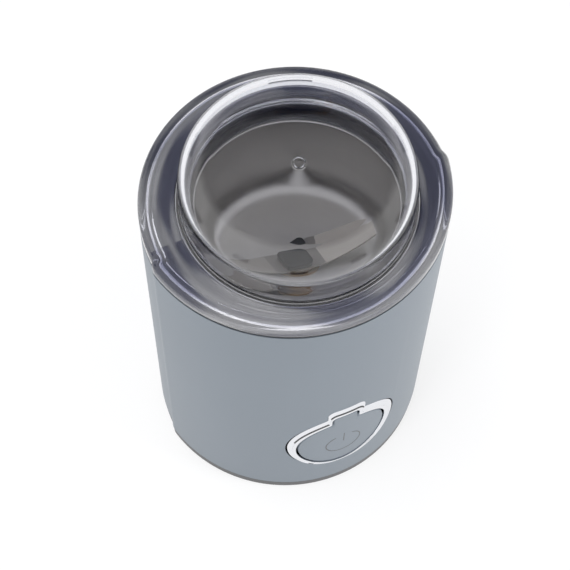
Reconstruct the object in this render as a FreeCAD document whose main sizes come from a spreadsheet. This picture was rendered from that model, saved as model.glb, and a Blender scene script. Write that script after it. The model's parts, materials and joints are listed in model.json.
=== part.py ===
import FreeCAD, Part
import math
import os
import re
import Sketcher
from FreeCAD import Placement, Rotation, Vector

# An electric spice grinder: an oval painted sleeve on a grey base, a dark deck that holds a steel
# bowl, a universal motor hung under the bowl, one push button low on the front and a clear lid.
# The motor axis is the local Z axis of every piece. +Z is up and the front faces -Y.
# Lengths are in millimetres.

sizes = {
    # Plan outline: a front arc and a rear arc, joined at each end by a small S step
    "front_radius": 50.0,
    "front_back": 6.0,
    "rear_drop": 1.7,
    "rear_back": 0.7,
    "corner_radius": 5.0,
    "hollow_radius": 3.0,
    "step_front": 5.25,
    # Heights of the stacked housing parts
    "foot_proud": 1.0,
    "base_rim": 4.0,
    "shell_height": 120.2,
    "deck_rim": 1.0,
    # Housing walls and fits
    "shell_wall": 2.2,
    "housing_gap": 0.3,
    "rim_inset": 0.3,
    "base_floor": 2.5,
    "base_upstand": 6.0,
    "base_wall": 1.8,
    # Screw posts between the base cover and the sleeve
    "post_inset": 6.9,
    "post_turn": 39.0,
    "post_radius": 4.0,
    "tie_sheet": 1.8,
    "post_height": 16.0,
    "base_screw_radius": 1.5,
    "base_head_radius": 2.9,
    "base_head_height": 1.8,
    "base_screw_length": 16.0,
    "screw_gap": 0.05,
    # Feet
    "foot_radius": 5.0,
    "foot_seat": 1.2,
    "foot_inset": 9.3,
    "foot_turn": 56.5,
    # Vents in the base floor
    "vent_count": 12.0,
    "vent_inner": 9.0,
    "vent_length": 10.0,
    "vent_width": 3.0,
    # Deck and bowl well
    "deck_plate": 3.5,
    "well_wall": 1.8,
    "well_floor": 2.5,
    "well_gap": 0.3,
    "collar_gap": 0.4,
    # Bowl, set in from the lid's dome
    "dome_inset": 12.3,
    "bowl_seat": 0.4,
    "bowl_wall": 0.8,
    "bowl_depth": 37.2,
    "bowl_drop": 5.0,
    "bowl_lip": 2.4,
    "bowl_fillet": 6.0,
    "gasket_height": 0.8,
    # Bush in the bowl floor, with the lip seal on it
    "bush_radius": 5.0,
    "bush_flange": 8.5,
    "bush_height": 1.4,
    "bush_bore": 3.6,
    "seal_radius": 6.0,
    "seal_height": 1.4,
    "seal_lip": 0.8,
    "press_gap": 0.02,
    # Blade, hub and nut
    "blade_gap": 6.5,
    "blade_width": 11.0,
    "cut_spare": 1.0,
    "blade_sheet": 1.6,
    "blade_rise": 7.0,
    "blade_dip": 2.5,
    "hub_radius": 6.5,
    "hub_height": 1.4,
    "hub_gap": 0.4,
    "nut_width": 10.0,
    "nut_height": 4.5,
    "nut_corner": 2.6,
    "nut_crown": 1.2,
    "shaft_end": 1.6,
    "blade_flat": 9.0,
    "blade_tip": 4.0,
    # Lid
    "lid_rise": 25.0,
    "lid_skirt": 5.8,
    "lid_wall": 2.0,
    "lid_flange": 2.4,
    "lid_top": 2.2,
    "lid_shoulder": 2.6,
    "dome_wall": 2.1,
    "dome_round": 9.2,
    "dome_foot": 1.6,
    "tube_gap": 0.4,
    # Interlock pin under the lid's tab
    "pin_inset": 6.5,
    "pin_radius": 2.4,
    "pin_length": 26.0,
    "pin_collar": 3.6,
    "pin_collar_height": 1.6,
    "pin_travel": 3.0,
    "pin_gap": 0.08,
    "tab_width": 6.0,
    "tab_depth": 4.4,
    "tab_gap": 0.3,
    "pin_proud": 0.1,
    "guide_wall": 1.4,
    "guide_length": 5.0,
    "shelf_sheet": 1.8,
    "shelf_depth": 14.0,
    "pin_switch_length": 13.0,
    "pin_spring_room": 8.0,
    # Shaft, bearings and brackets
    "shaft_radius": 3.0,
    "shaft_gap": 0.04,
    "bearing_radius": 6.0,
    "bearing_length": 5.0,
    "bearing_drop": 1.8,
    "boss_wall": 3.0,
    "bracket_sheet": 2.0,
    "mount_height": 3.0,
    "mount_radius": 5.0,
    "mount_inset": 5.5,
    "mount_screw_radius": 1.5,
    "mount_head_radius": 2.8,
    "mount_head_height": 1.6,
    # Motor
    "core_height": 22.0,
    "core_length": 52.0,
    "core_depth": 46.0,
    "core_corner": 6.0,
    "air_gap": 0.5,
    "armature_radius": 15.0,
    "coil_width": 5.0,
    "coil_rise": 6.0,
    "coil_clear": 1.4,
    "coil_back": 3.5,
    "pole_width": 24.0,
    "coil_gap": 0.2,
    "motor_screw_inset": 4.5,
    "motor_screw_radius": 1.9,
    "spacer_radius": 3.4,
    "turns_radius": 13.0,
    "turns_height": 4.2,
    "armature_slots": 12.0,
    "commutator_radius": 9.0,
    "commutator_height": 11.0,
    "commutator_gap": 1.2,
    "lower_gap": 3.0,
    "brush_width": 6.0,
    "brush_length": 10.0,
    "brush_gap": 0.3,
    "holder_wall": 1.4,
    "holder_length": 17.0,
    "motor_head_radius": 3.2,
    "motor_head_height": 2.0,
    "slot_width": 2.0,
    "slot_depth": 5.5,
    "bar_gap": 0.8,
    "bar_depth": 1.6,
    "bars": 12.0,
    "brush_wire": 0.4,
    "brush_spring_radius": 2.3,
    "brush_turns": 4.0,
    # Fan
    "fan_radius": 23.0,
    "fan_height": 8.0,
    "fan_disc": 1.4,
    "fan_hub": 6.0,
    "fan_drop": 4.0,
    "fan_blades": 9.0,
    "fan_sheet": 1.2,
    # Button, seen from the front: a disc with a tab on top, in a chrome bezel
    "bezel_height": 38.7,
    "bezel_radius": 20.3,
    "bezel_tab": 6.8,
    "bezel_tab_top": 25.0,
    "bezel_corner": 3.0,
    "bezel_proud": 0.6,
    "bezel_flange": 1.2,
    "flange_reach": 2.0,
    "button_drop": 3.0,
    "button_radius": 16.8,
    "button_tab": 4.7,
    "button_tab_top": 21.3,
    "button_corner": 2.0,
    "button_sink": 0.3,
    "button_sheet": 2.4,
    "button_rim": 1.2,
    "rim_reach": 1.4,
    "button_gap": 0.25,
    "button_travel": 2.0,
    "stem_radius": 3.0,
    # Carrier behind the button, with the power switch on its shelf
    "carrier_inset": 21.0,
    "carrier_sheet": 2.0,
    "carrier_side": 25.4,
    "carrier_ear": 3.4,
    "carrier_rise": 8.0,
    "carrier_boss": 2.6,
    "carrier_screw": 1.2,
    "carrier_thread": 3.0,
    "stem_proud": 1.0,
    "switch_length": 20.0,
    "switch_depth": 10.0,
    "switch_height": 6.4,
    "switch_gap": 0.3,
    # Springs
    "spring_wire": 0.5,
    "spring_radius": 4.2,
    "spring_turns": 4.0,
    "pin_spring_turns": 5.0,
    # Cord inlet, clamp and terminals at the rear of the base
    "gland_height": 19.0,
    "gland_radius": 5.0,
    "gland_bore": 3.2,
    "gland_lip": 1.2,
    "gland_proud": 0.8,
    "clamp_length": 20.0,
    "clamp_depth": 7.0,
    "clamp_sheet": 3.0,
    "clamp_inset": 12.3,
    "clamp_thread": 5.0,
    "clamp_screw_side": 6.4,
    "block_length": 22.0,
    "block_depth": 9.0,
    "block_height": 10.0,
    "block_gap": 1.0,
    "capacitor_length": 18.0,
    "capacitor_depth": 8.0,
    "capacitor_height": 14.0,
    "capacitor_lead": 0.6,
    "capacitor_inset": 9.8,
}

# Sizes that follow from others
links = {
    "rear_radius": "front_radius - rear_drop",
    "dome_radius": "rear_radius - dome_inset",
    "bowl_radius": "dome_radius - dome_wall - bowl_seat",
    "blade_reach": "bowl_radius - blade_gap",
    "pin_side": "rear_radius - pin_inset",
    "mount_circle": "bowl_radius - mount_inset",
    "slot_from": "core_depth / 2 - coil_back - coil_width",
    "motor_screw_side": "core_length / 2 - motor_screw_inset",
    "motor_screw_depth": "core_depth / 2 - motor_screw_inset",
    "carrier_front": "front_radius - carrier_inset",
    "clamp_from": "rear_radius - clamp_inset",
    "block_from": "clamp_from - block_gap - block_depth",
    "capacitor_side": "rear_radius - capacitor_inset",
}

doc = FreeCAD.newDocument("spice_grinder")
sheet = doc.addObject("Spreadsheet::Sheet", "sizes")
for row, (alias, value) in enumerate(sizes.items(), start=1):
    sheet.set(f"A{row}", alias)
    sheet.set(f"B{row}", str(value))
    sheet.setAlias(f"B{row}", alias)
doc.recompute()

# Levels along Z, as formulas on the sheet's cells
base_bottom = "(foot_proud)"
floor_top = "(foot_proud + base_floor)"
shell_bottom = "(foot_proud + base_rim)"
upstand_top = f"({shell_bottom} + base_upstand)"
shell_top = f"({shell_bottom} + shell_height)"
lid_bottom = f"({shell_top} + deck_rim)"
bowl_rim = f"({lid_bottom} - bowl_drop)"
ledge = f"({bowl_rim} - bowl_wall - gasket_height)"
bowl_floor = f"({bowl_rim} - bowl_depth)"
well_top = f"({bowl_floor} - bowl_wall - well_gap)"
well_bottom = f"({well_top} - well_floor)"
bracket_top = f"({well_bottom} - mount_height)"
bracket_bottom = f"({bracket_top} - bracket_sheet)"
core_top = f"({bracket_bottom} - coil_rise - coil_clear)"
core_bottom = f"({core_top} - core_height)"
commutator_top = f"({core_bottom} - turns_height - commutator_gap)"
commutator_bottom = f"({commutator_top} - commutator_height)"
lower_top = f"({commutator_bottom} - lower_gap)"
lower_bottom = f"({lower_top} - bracket_sheet)"
brush_level = f"(({commutator_top} + {commutator_bottom}) / 2)"
fan_top = f"({lower_bottom} - fan_drop)"
bush_top = f"({bowl_floor} + bush_height)"
seal_top = f"({bush_top} + seal_height)"
blade_bottom = f"({seal_top} + hub_gap + hub_height)"
button_level = "(bezel_height - button_drop)"

# Half the difference of the front and rear reach puts the origin in the middle of the whole part
front_reach = "(front_radius - front_back + bezel_proud)"
rear_reach = "(rear_radius + rear_back + gland_proud)"
centring = f"({front_reach} - {rear_reach}) / 2"

nodes = []


def tied(formula):
    """Put the sheet's name before each alias in a formula, and links in full."""
    def name(match):
        word = match.group(0)
        if word in links:
            return f"({tied(links[word])})"
        return f"sizes.{word}" if word in sizes else word
    return re.sub(r"[a-z_]+", name, str(formula))


def number(formula):
    """The value of a formula on the sheet's cells."""
    return float(sheet.evalExpression(tied(formula)))


def bind(item, **formulas):
    """Tie properties to formulas; two underscores in a name stand for a dot."""
    for name, formula in formulas.items():
        item.setExpression(name.replace("__", "."), tied(formula))
    return item


def finish(item, label):
    """Name a finished piece, centre it and keep it as a node."""
    item.Label = label
    bind(item, Placement__Base__y=centring)
    nodes.append(item)
    return item


# Part primitives and booleans

def put(item, x, y, z, turn=None):
    if turn is not None:
        item.Placement = Placement(Vector(0, 0, 0), turn)
    return bind(item, Placement__Base__x=x, Placement__Base__y=y, Placement__Base__z=z)


def cylinder(radius, height, x=0, y=0, z=0, turn=None):
    item = doc.addObject("Part::Cylinder", "Cylinder")
    bind(item, Radius=radius, Height=height)
    return put(item, x, y, z, turn)


def block(length, depth, height, x=0, y=0, z=0):
    """A box centred on x and y that stands on z."""
    item = doc.addObject("Part::Box", "Box")
    bind(item, Length=length, Width=depth, Height=height)
    return put(item, f"{x} - ({length}) / 2", f"{y} - ({depth}) / 2", z)


def fuse(items, name="Fuse"):
    item = doc.addObject("Part::MultiFuse", name)
    item.Shapes = items
    return item


def cut(base, tools, name="Cut"):
    item = doc.addObject("Part::Cut", name)
    item.Base = base
    item.Tool = tools if not isinstance(tools, list) else fuse(tools)
    return item


def common(items, name="Common"):
    item = doc.addObject("Part::MultiCommon", name)
    item.Shapes = items
    return item


forward = Rotation(Vector(1, 0, 0), 90)
rearward = Rotation(Vector(1, 0, 0), -90)
rightward = Rotation(Vector(0, 1, 0), 90)


# Sketches and PartDesign features

def new_body(label):
    body = doc.addObject("PartDesign::Body", label)
    return finish(body, label)


def new_sketch(body, role="XY_Plane", offset="0"):
    sketch = body.newObject("Sketcher::SketchObject", "Sketch")
    plane = [item for item in body.Origin.OriginFeatures if item.Role == role][0]
    sketch.AttachmentSupport = [(plane, "")]
    sketch.MapMode = "FlatFace"
    bind(sketch, AttachmentOffset__Base__z=offset)
    return sketch


def dimension(sketch, kind, places, formula):
    index = sketch.addConstraint(Sketcher.Constraint(kind, *places, number(formula)))
    sketch.setExpression(f"Constraints[{index}]", tied(formula))


def locate(sketch, shape, point, x, y):
    """Fix a point of a sketch at formulas x and y."""
    dimension(sketch, "DistanceX", (-1, 1, shape, point), x)
    dimension(sketch, "DistanceY", (-1, 1, shape, point), y)


def draw_circle(sketch, radius, x="0", y="0"):
    centre = Vector(number(x), number(y), 0)
    shape = sketch.addGeometry(Part.Circle(centre, Vector(0, 0, 1), number(radius)))
    locate(sketch, shape, 3, x, y)
    dimension(sketch, "Radius", (shape,), radius)
    return shape


def draw_polygon(sketch, corners):
    """A closed outline through corners given as pairs of formulas."""
    points = [Vector(number(x), number(y), 0) for x, y in corners]
    count = len(points)
    lines = [sketch.addGeometry(Part.LineSegment(points[k], points[(k + 1) % count])) for k in range(count)]
    for k, line in enumerate(lines):
        sketch.addConstraint(Sketcher.Constraint("Coincident", line, 2, lines[(k + 1) % count], 1))
        locate(sketch, line, 1, *corners[k])
    return lines


def draw_arc(sketch, centre, radius, start, end):
    circle = Part.Circle(Vector(*centre, 0), Vector(0, 0, 1), radius)
    return sketch.addGeometry(Part.ArcOfCircle(circle, start, end))


def join(sketch, kind, *ends):
    for first, first_end, second, second_end in ends:
        sketch.addConstraint(Sketcher.Constraint(kind, first, first_end, second, second_end))


def draw_oval(sketch, inset):
    """The plan outline, drawn in by an inset: two large arcs and an S step at each end."""
    front = number(f"front_radius - ({inset})")
    rear = number(f"rear_radius - ({inset})")
    front_y = number("front_back")
    rear_y = number("rear_back")
    corner = number(f"corner_radius - ({inset})")
    hollow = number(f"hollow_radius + ({inset})")
    if corner < 0.4:
        return draw_lens(sketch, inset)
    low = math.asin(number("(front_back + step_front) / front_radius"))
    reach = front - corner
    corner_at = Vector(reach * math.cos(low), front_y - reach * math.sin(low), 0)
    rear_at = Vector(0, rear_y, 0)
    across = corner_at - rear_at
    cosine = (across.Length ** 2 + (rear + hollow) ** 2 - (corner + hollow) ** 2)
    cosine = cosine / (2 * across.Length * (rear + hollow))
    high = math.atan2(across.y, across.x) + math.acos(cosine)
    hollow_at = rear_at + Vector(math.cos(high), math.sin(high), 0) * (rear + hollow)
    between = hollow_at - corner_at
    bend = math.atan2(between.y, between.x)
    full = math.pi
    front_arc = draw_arc(sketch, (0, front_y), front, full + low, 2 * full - low)
    right_corner = draw_arc(sketch, (corner_at.x, corner_at.y), corner, -low, bend)
    right_hollow = draw_arc(sketch, (hollow_at.x, hollow_at.y), hollow, full + high, full + bend)
    rear_arc = draw_arc(sketch, (0, rear_y), rear, high, full - high)
    left_hollow = draw_arc(sketch, (-hollow_at.x, hollow_at.y), hollow, -bend, -high)
    left_corner = draw_arc(sketch, (-corner_at.x, corner_at.y), corner, full - bend, full + low)
    join(sketch, "Tangent", (front_arc, 2, right_corner, 1), (right_corner, 2, right_hollow, 2),
         (right_hollow, 1, rear_arc, 1), (rear_arc, 2, left_hollow, 2),
         (left_hollow, 1, left_corner, 1), (left_corner, 2, front_arc, 1))
    locate(sketch, front_arc, 3, "0", "front_back")
    locate(sketch, rear_arc, 3, "0", "rear_back")
    dimension(sketch, "Radius", (front_arc,), f"front_radius - ({inset})")
    dimension(sketch, "Radius", (rear_arc,), f"rear_radius - ({inset})")
    for arc in (right_corner, left_corner):
        dimension(sketch, "Radius", (arc,), f"corner_radius - ({inset})")
    for arc in (right_hollow, left_hollow):
        dimension(sketch, "Radius", (arc,), f"hollow_radius + ({inset})")
    step = f"front_back - (front_radius - ({inset})) * (front_back + step_front) / front_radius"
    for end in (1, 2):
        dimension(sketch, "DistanceY", (-1, 1, front_arc, end), step)


def draw_lens(sketch, inset):
    """The outline drawn in further than its corners: the two large arcs alone."""
    front = number(f"front_radius - ({inset})")
    rear = number(f"rear_radius - ({inset})")
    front_y = number("front_back")
    rear_y = number("rear_back")
    level = (rear ** 2 - front ** 2 + front_y ** 2 - rear_y ** 2) / (2 * (front_y - rear_y))
    low = math.asin((front_y - level) / front)
    high = math.asin((level - rear_y) / rear)
    front_arc = draw_arc(sketch, (0, front_y), front, math.pi + low, 2 * math.pi - low)
    rear_arc = draw_arc(sketch, (0, rear_y), rear, high, math.pi - high)
    join(sketch, "Coincident", (front_arc, 2, rear_arc, 1), (rear_arc, 2, front_arc, 1))
    locate(sketch, front_arc, 3, "0", "front_back")
    locate(sketch, rear_arc, 3, "0", "rear_back")
    dimension(sketch, "Radius", (front_arc,), f"front_radius - ({inset})")
    dimension(sketch, "Radius", (rear_arc,), f"rear_radius - ({inset})")


def draw_tabbed(sketch, kind, grow="0"):
    """The outline of the bezel or the button from the front: a disc with a tab on top."""
    level = "bezel_height" if kind == "bezel" else button_level
    radius = f"{kind}_radius + ({grow})"
    side = f"{kind}_tab + ({grow})"
    top = f"{level} + {kind}_tab_top + ({grow})"
    round_off = f"{kind}_corner + ({grow})"
    r, w, c, z, high = (number(item) for item in (radius, side, round_off, level, top))
    foot = math.acos(w / r)
    foot_z = z + r * math.sin(foot)
    rim = draw_arc(sketch, (0, z), r, math.pi - foot, 2 * math.pi + foot)
    right = sketch.addGeometry(Part.LineSegment(Vector(w, foot_z, 0), Vector(w, high - c, 0)))
    right_corner = draw_arc(sketch, (w - c, high - c), c, 0, math.pi / 2)
    crown = sketch.addGeometry(Part.LineSegment(Vector(w - c, high, 0), Vector(c - w, high, 0)))
    left_corner = draw_arc(sketch, (c - w, high - c), c, math.pi / 2, math.pi)
    left = sketch.addGeometry(Part.LineSegment(Vector(-w, high - c, 0), Vector(-w, foot_z, 0)))
    join(sketch, "Coincident", (rim, 2, right, 1), (left, 2, rim, 1))
    join(sketch, "Tangent", (right, 2, right_corner, 1), (right_corner, 2, crown, 1),
         (crown, 2, left_corner, 1), (left_corner, 2, left, 1))
    locate(sketch, rim, 3, "0", level)
    dimension(sketch, "Radius", (rim,), radius)
    for line, place in ((right, side), (left, f"-({side})")):
        sketch.addConstraint(Sketcher.Constraint("Vertical", line))
        dimension(sketch, "DistanceX", (-1, 1, line, 1), place)
    sketch.addConstraint(Sketcher.Constraint("Horizontal", crown))
    dimension(sketch, "DistanceY", (-1, 1, crown, 1), top)
    for arc in (right_corner, left_corner):
        dimension(sketch, "Radius", (arc,), round_off)


def pad(body, sketch, length=None, down=False):
    """A solid on a sketch; with no length it runs up to the wall in its way."""
    item = body.newObject("PartDesign::Pad", "Pad")
    item.Profile = sketch
    item.Reversed = down
    if length is None:
        item.Type = "UpToFirst"
        return item
    return bind(item, Length=length)


def pocket(body, sketch, length=None, up=False):
    """A cut; with no length it goes through all. It runs against the sketch unless up is set."""
    item = body.newObject("PartDesign::Pocket", "Pocket")
    item.Profile = sketch
    item.Reversed = up
    if length is None:
        item.Type = "ThroughAll"
        return item
    return bind(item, Length=length)


def revolve(body, corners):
    """Turn an outline of radius and height pairs about the axis."""
    sketch = new_sketch(body, "XZ_Plane")
    draw_polygon(sketch, corners)
    item = body.newObject("PartDesign::Revolution", "Revolution")
    item.Profile = sketch
    item.ReferenceAxis = (sketch, ["V_Axis"])
    item.Angle = 360
    return item


def ring_pattern(body, feature, count):
    """Repeat a feature about the axis and make the pattern the body's tip."""
    item = body.newObject("PartDesign::PolarPattern", "PolarPattern")
    item.Originals = [feature]
    item.Axis = (feature.Profile[0], ["N_Axis"])
    item.Angle = 360
    bind(item, Occurrences=count)
    body.Tip = item
    return item


def round_edges(body, feature, radius, wanted, kind="Fillet"):
    """Round or bevel the edges of a feature that the test picks out."""
    doc.recompute()
    picked = [f"Edge{k}" for k, edge in enumerate(feature.Shape.Edges, start=1) if wanted(edge)]
    item = body.newObject(f"PartDesign::{kind}", kind)
    item.Base = (feature, picked)
    return bind(item, **{"Radius" if kind == "Fillet" else "Size": radius})


def level_at(edge, height):
    """Whether an edge lies flat at a height."""
    box = edge.BoundBox
    return abs(box.ZMin - height) < 0.01 and abs(box.ZMax - height) < 0.01


def beyond(edge, radius):
    """Whether every end and the middle of an edge lie further from the axis than a radius."""
    middle = edge.valueAt((edge.FirstParameter + edge.LastParameter) / 2)
    return all(math.hypot(point.x, point.y) > radius for point in [middle] + [v.Point for v in edge.Vertexes])


def around(inset, turn):
    """Four places set in from the front arc and the rear arc, as pairs of formulas."""
    places = []
    for side in (-1, 1):
        for arc, away in (("front", -1), ("rear", 1)):
            reach = f"({arc}_radius - ({inset}))"
            places.append((f"{side} * {reach} * cos({turn})",
                           f"{arc}_back + {away} * {reach} * sin({turn})"))
    return places


def posts():
    return around("post_inset", "post_turn")


def motor_screws_at():
    corners = [(side, back) for side in (-1, 1) for back in (-1, 1)]
    return [(f"{side} * motor_screw_side", f"{back} * motor_screw_depth") for side, back in corners]


def make_shell():
    body = new_body("body_shell")
    outside = new_sketch(body, offset=shell_bottom)
    draw_oval(outside, "0")
    pad(body, outside, "shell_height")
    inside = new_sketch(body, offset=shell_bottom)
    draw_oval(inside, "shell_wall")
    pocket(body, inside, None, up=True)
    columns = new_sketch(body, offset=upstand_top)
    for x, y in posts():
        draw_circle(columns, "post_radius", x, y)
    pad(body, columns, "post_height")
    ties = new_sketch(body, offset=upstand_top)
    walls = around("shell_wall / 2", "post_turn")
    turns = [(side, away) for side in (-1, 1) for away in (-1, 1)]
    for (x, y), (wall_x, wall_y), (side, away) in zip(posts(), walls, turns):
        aside = f"{-away} * tie_sheet / 2 * sin(post_turn)"
        along = f"{side} * tie_sheet / 2 * cos(post_turn)"
        draw_polygon(ties, [(f"{x} - ({aside})", f"{y} - ({along})"),
                            (f"{wall_x} - ({aside})", f"{wall_y} - ({along})"),
                            (f"{wall_x} + ({aside})", f"{wall_y} + ({along})"),
                            (f"{x} + ({aside})", f"{y} + ({along})")])
    pad(body, ties, "post_height")
    pilots = new_sketch(body, offset=upstand_top)
    for x, y in posts():
        draw_circle(pilots, "base_screw_radius + screw_gap", x, y)
    pocket(body, pilots, "base_screw_length", up=True)
    bosses = new_sketch(body, "XZ_Plane", "carrier_front")
    for side in ("-carrier_side", "carrier_side"):
        draw_circle(bosses, "carrier_boss", side, "bezel_height")
    pad(body, bosses)
    screw = new_sketch(body, "XZ_Plane", "carrier_front")
    for side in ("-carrier_side", "carrier_side"):
        draw_circle(screw, "carrier_screw + screw_gap", side, "bezel_height")
    pocket(body, screw, "carrier_thread + cut_spare", up=True)
    opening = new_sketch(body, "XZ_Plane", "carrier_front / 2")
    draw_tabbed(opening, "bezel", "press_gap")
    pocket(body, opening, None, up=True)
    inlet = new_sketch(body, "XZ_Plane", "0")
    draw_circle(inlet, "gland_radius + press_gap", "0", "gland_height")
    pocket(body, inlet, None)
    return body


def make_base():
    body = new_body("base_cover")
    rim = new_sketch(body, offset=base_bottom)
    draw_oval(rim, "rim_inset")
    pad(body, rim, "base_rim")
    upstand = new_sketch(body, offset=shell_bottom)
    draw_oval(upstand, "shell_wall + housing_gap")
    pad(body, upstand, "base_upstand")
    hollow = new_sketch(body, offset=floor_top)
    draw_oval(hollow, "shell_wall + housing_gap + base_wall")
    pocket(body, hollow, None, up=True)
    pillars = new_sketch(body, offset=floor_top)
    for x, y in posts():
        draw_circle(pillars, "post_radius", x, y)
    pad(body, pillars, f"{upstand_top} - {floor_top}")
    saddle = new_sketch(body, offset=floor_top)
    side = "clamp_length / 2"
    back = "(clamp_from + clamp_depth)"
    draw_polygon(saddle, [(f"-{side}", "clamp_from"), (side, "clamp_from"), (side, back), (f"-{side}", back)])
    pad(body, saddle, f"gland_height - {floor_top}")
    groove = new_sketch(body, "XZ_Plane", "-clamp_from / 2")
    draw_circle(groove, "gland_bore", "0", "gland_height")
    pocket(body, groove, None)
    tapped = new_sketch(body, offset="gland_height")
    for side in (-1, 1):
        draw_circle(tapped, "base_screw_radius + screw_gap", f"{side} * clamp_screw_side",
                    "clamp_from + clamp_depth / 2")
    pocket(body, tapped, "clamp_depth")
    holes = new_sketch(body, offset=base_bottom)
    for x, y in posts():
        draw_circle(holes, "base_screw_radius + screw_gap", x, y)
    pocket(body, holes, None, up=True)
    heads = new_sketch(body, offset=base_bottom)
    for x, y in posts():
        draw_circle(heads, "base_head_radius + housing_gap", x, y)
    pocket(body, heads, "base_head_height + housing_gap", up=True)
    seats = new_sketch(body, offset=base_bottom)
    for x, y in feet():
        draw_circle(seats, "foot_radius + press_gap", x, y)
    pocket(body, seats, "foot_seat", up=True)
    vent = new_sketch(body, offset=base_bottom)
    end = "vent_inner + vent_length"
    draw_polygon(vent, [("vent_inner", "-vent_width / 2"), (end, "-vent_width / 2"),
                        (end, "vent_width / 2"), ("vent_inner", "vent_width / 2")])
    ring_pattern(body, pocket(body, vent, "base_floor", up=True), "vent_count")


def feet():
    return around("foot_inset", "foot_turn")


def make_feet():
    pieces = []
    for x, y in feet():
        bevel = doc.addObject("Part::Cone", "Cone")
        bind(bevel, Radius1="foot_radius - foot_proud / 2", Radius2="foot_radius", Height="foot_proud / 2")
        put(bevel, x, y, "0")
        pieces += [bevel, cylinder("foot_radius", "foot_proud / 2 + foot_seat", x, y, "foot_proud / 2")]
    finish(fuse(pieces), "rubber_feet")


def make_screws(label, places, head_radius, head_height, shank, length, level, up=True):
    """Pan head screws at x and y: heads under the level and shanks above it, or the other way."""
    pieces = []
    for x, y in places:
        head_at = f"{level} - ({head_height})" if up else level
        shank_at = level if up else f"{level} - ({length})"
        pieces.append(cylinder(head_radius, head_height, x, y, head_at))
        pieces.append(cylinder(shank, length, x, y, shank_at))
    slots = []
    for x, y in places:
        slot_at = f"{level} - ({head_height})" if up else f"{level} + ({head_height}) / 2"
        slots.append(block(f"{head_radius} * 1.4", f"{head_radius} / 3", f"{head_height} / 2", x, y, slot_at))
    finish(cut(fuse(pieces), slots), label)


def mounts():
    """The three rubber mounts, a third of a turn apart."""
    half = "mount_circle / 2"
    rise = "mount_circle * sqrt(3) / 2"
    return [("mount_circle", "0"), (f"-{half}", rise), (f"-{half}", f"-{rise}")]


bowl_outside = "(bowl_radius + bowl_wall + well_gap)"
collar_inside = "(dome_radius + collar_gap)"
plate_bottom = f"({shell_top} - deck_plate)"
guide_bottom = f"({plate_bottom} - guide_length)"
pin_top = f"({lid_bottom} + pin_proud)"
pin_bottom = f"({pin_top} - pin_length)"
collar_top = f"({guide_bottom} - pin_travel - housing_gap)"
collar_bottom = f"({collar_top} - pin_collar_height)"
shelf_top = f"({collar_bottom} - pin_spring_room)"
pin_switch_top = f"({pin_bottom} - housing_gap)"
pin_switch_bottom = f"({pin_switch_top} - switch_depth)"


def make_deck():
    body = new_body("top_deck")
    rim = new_sketch(body, offset=shell_top)
    draw_oval(rim, "rim_inset")
    pad(body, rim, "deck_rim")
    plug = new_sketch(body, offset=shell_top)
    draw_oval(plug, "shell_wall + housing_gap")
    pad(body, plug, "deck_plate", down=True)
    middle = new_sketch(body, offset=plate_bottom)
    draw_circle(middle, f"{collar_inside} + well_wall / 2")
    pocket(body, middle, None, up=True)
    hole = "bush_radius + press_gap"
    step = f"({ledge} - well_wall)"
    revolve(body, [(hole, well_bottom), (f"{bowl_outside} + well_wall", well_bottom),
                   (f"{bowl_outside} + well_wall", step), (f"{collar_inside} + well_wall", step),
                   (f"{collar_inside} + well_wall", lid_bottom), (collar_inside, lid_bottom),
                   (collar_inside, ledge), (bowl_outside, ledge), (bowl_outside, well_top), (hole, well_top)])
    guide = new_sketch(body, offset=plate_bottom)
    draw_circle(guide, "pin_radius + guide_wall", "-pin_side", "0")
    pad(body, guide, "guide_length", down=True)
    for top, depth in ((shelf_top, "shelf_depth / 2"), (pin_switch_bottom, "shelf_depth")):
        shelf = new_sketch(body, offset=top)
        inner = f"-({bowl_outside} + well_wall / 2)"
        outer = "-(pin_side + pin_collar - housing_gap)"
        draw_polygon(shelf, [(outer, f"-({depth}) / 2"), (inner, f"-({depth}) / 2"),
                             (inner, f"({depth}) / 2"), (outer, f"({depth}) / 2")])
        pad(body, shelf, "shelf_sheet", down=True)
    bore = new_sketch(body, offset=lid_bottom)
    draw_circle(bore, "pin_radius + pin_gap", "-pin_side", "0")
    pocket(body, bore, f"{lid_bottom} - {shelf_top} + shelf_sheet * 1.5")
    screws = new_sketch(body, offset=well_bottom)
    for x, y in mounts():
        draw_circle(screws, "mount_screw_radius + screw_gap", x, y)
    pocket(body, screws, "well_floor", up=True)


def make_bowl():
    body = new_body("grinding_bowl")
    hole = "bush_radius + press_gap"
    outer = "bowl_radius + bowl_wall"
    lip = "bowl_radius + bowl_lip"
    turned = revolve(body, [(hole, bowl_floor), ("bowl_radius", bowl_floor), ("bowl_radius", bowl_rim),
                            (lip, bowl_rim), (lip, f"{bowl_rim} - bowl_wall"),
                            (outer, f"{bowl_rim} - bowl_wall"), (outer, f"{bowl_floor} - bowl_wall"),
                            (hole, f"{bowl_floor} - bowl_wall")])
    floor = number(bowl_floor)
    inside = round_edges(body, turned, "bowl_fillet",
                         lambda edge: level_at(edge, floor) and beyond(edge, number("bowl_radius") - 0.1))
    under = floor - number("bowl_wall")
    outside = round_edges(body, inside, "bowl_fillet + bowl_wall",
                          lambda edge: level_at(edge, under) and beyond(edge, number("bowl_radius") - 0.1))
    rim = number(bowl_rim)
    round_edges(body, outside, "bowl_wall * 0.7",
                lambda edge: level_at(edge, rim) and not beyond(edge, number("bowl_radius") + 0.1))


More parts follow.
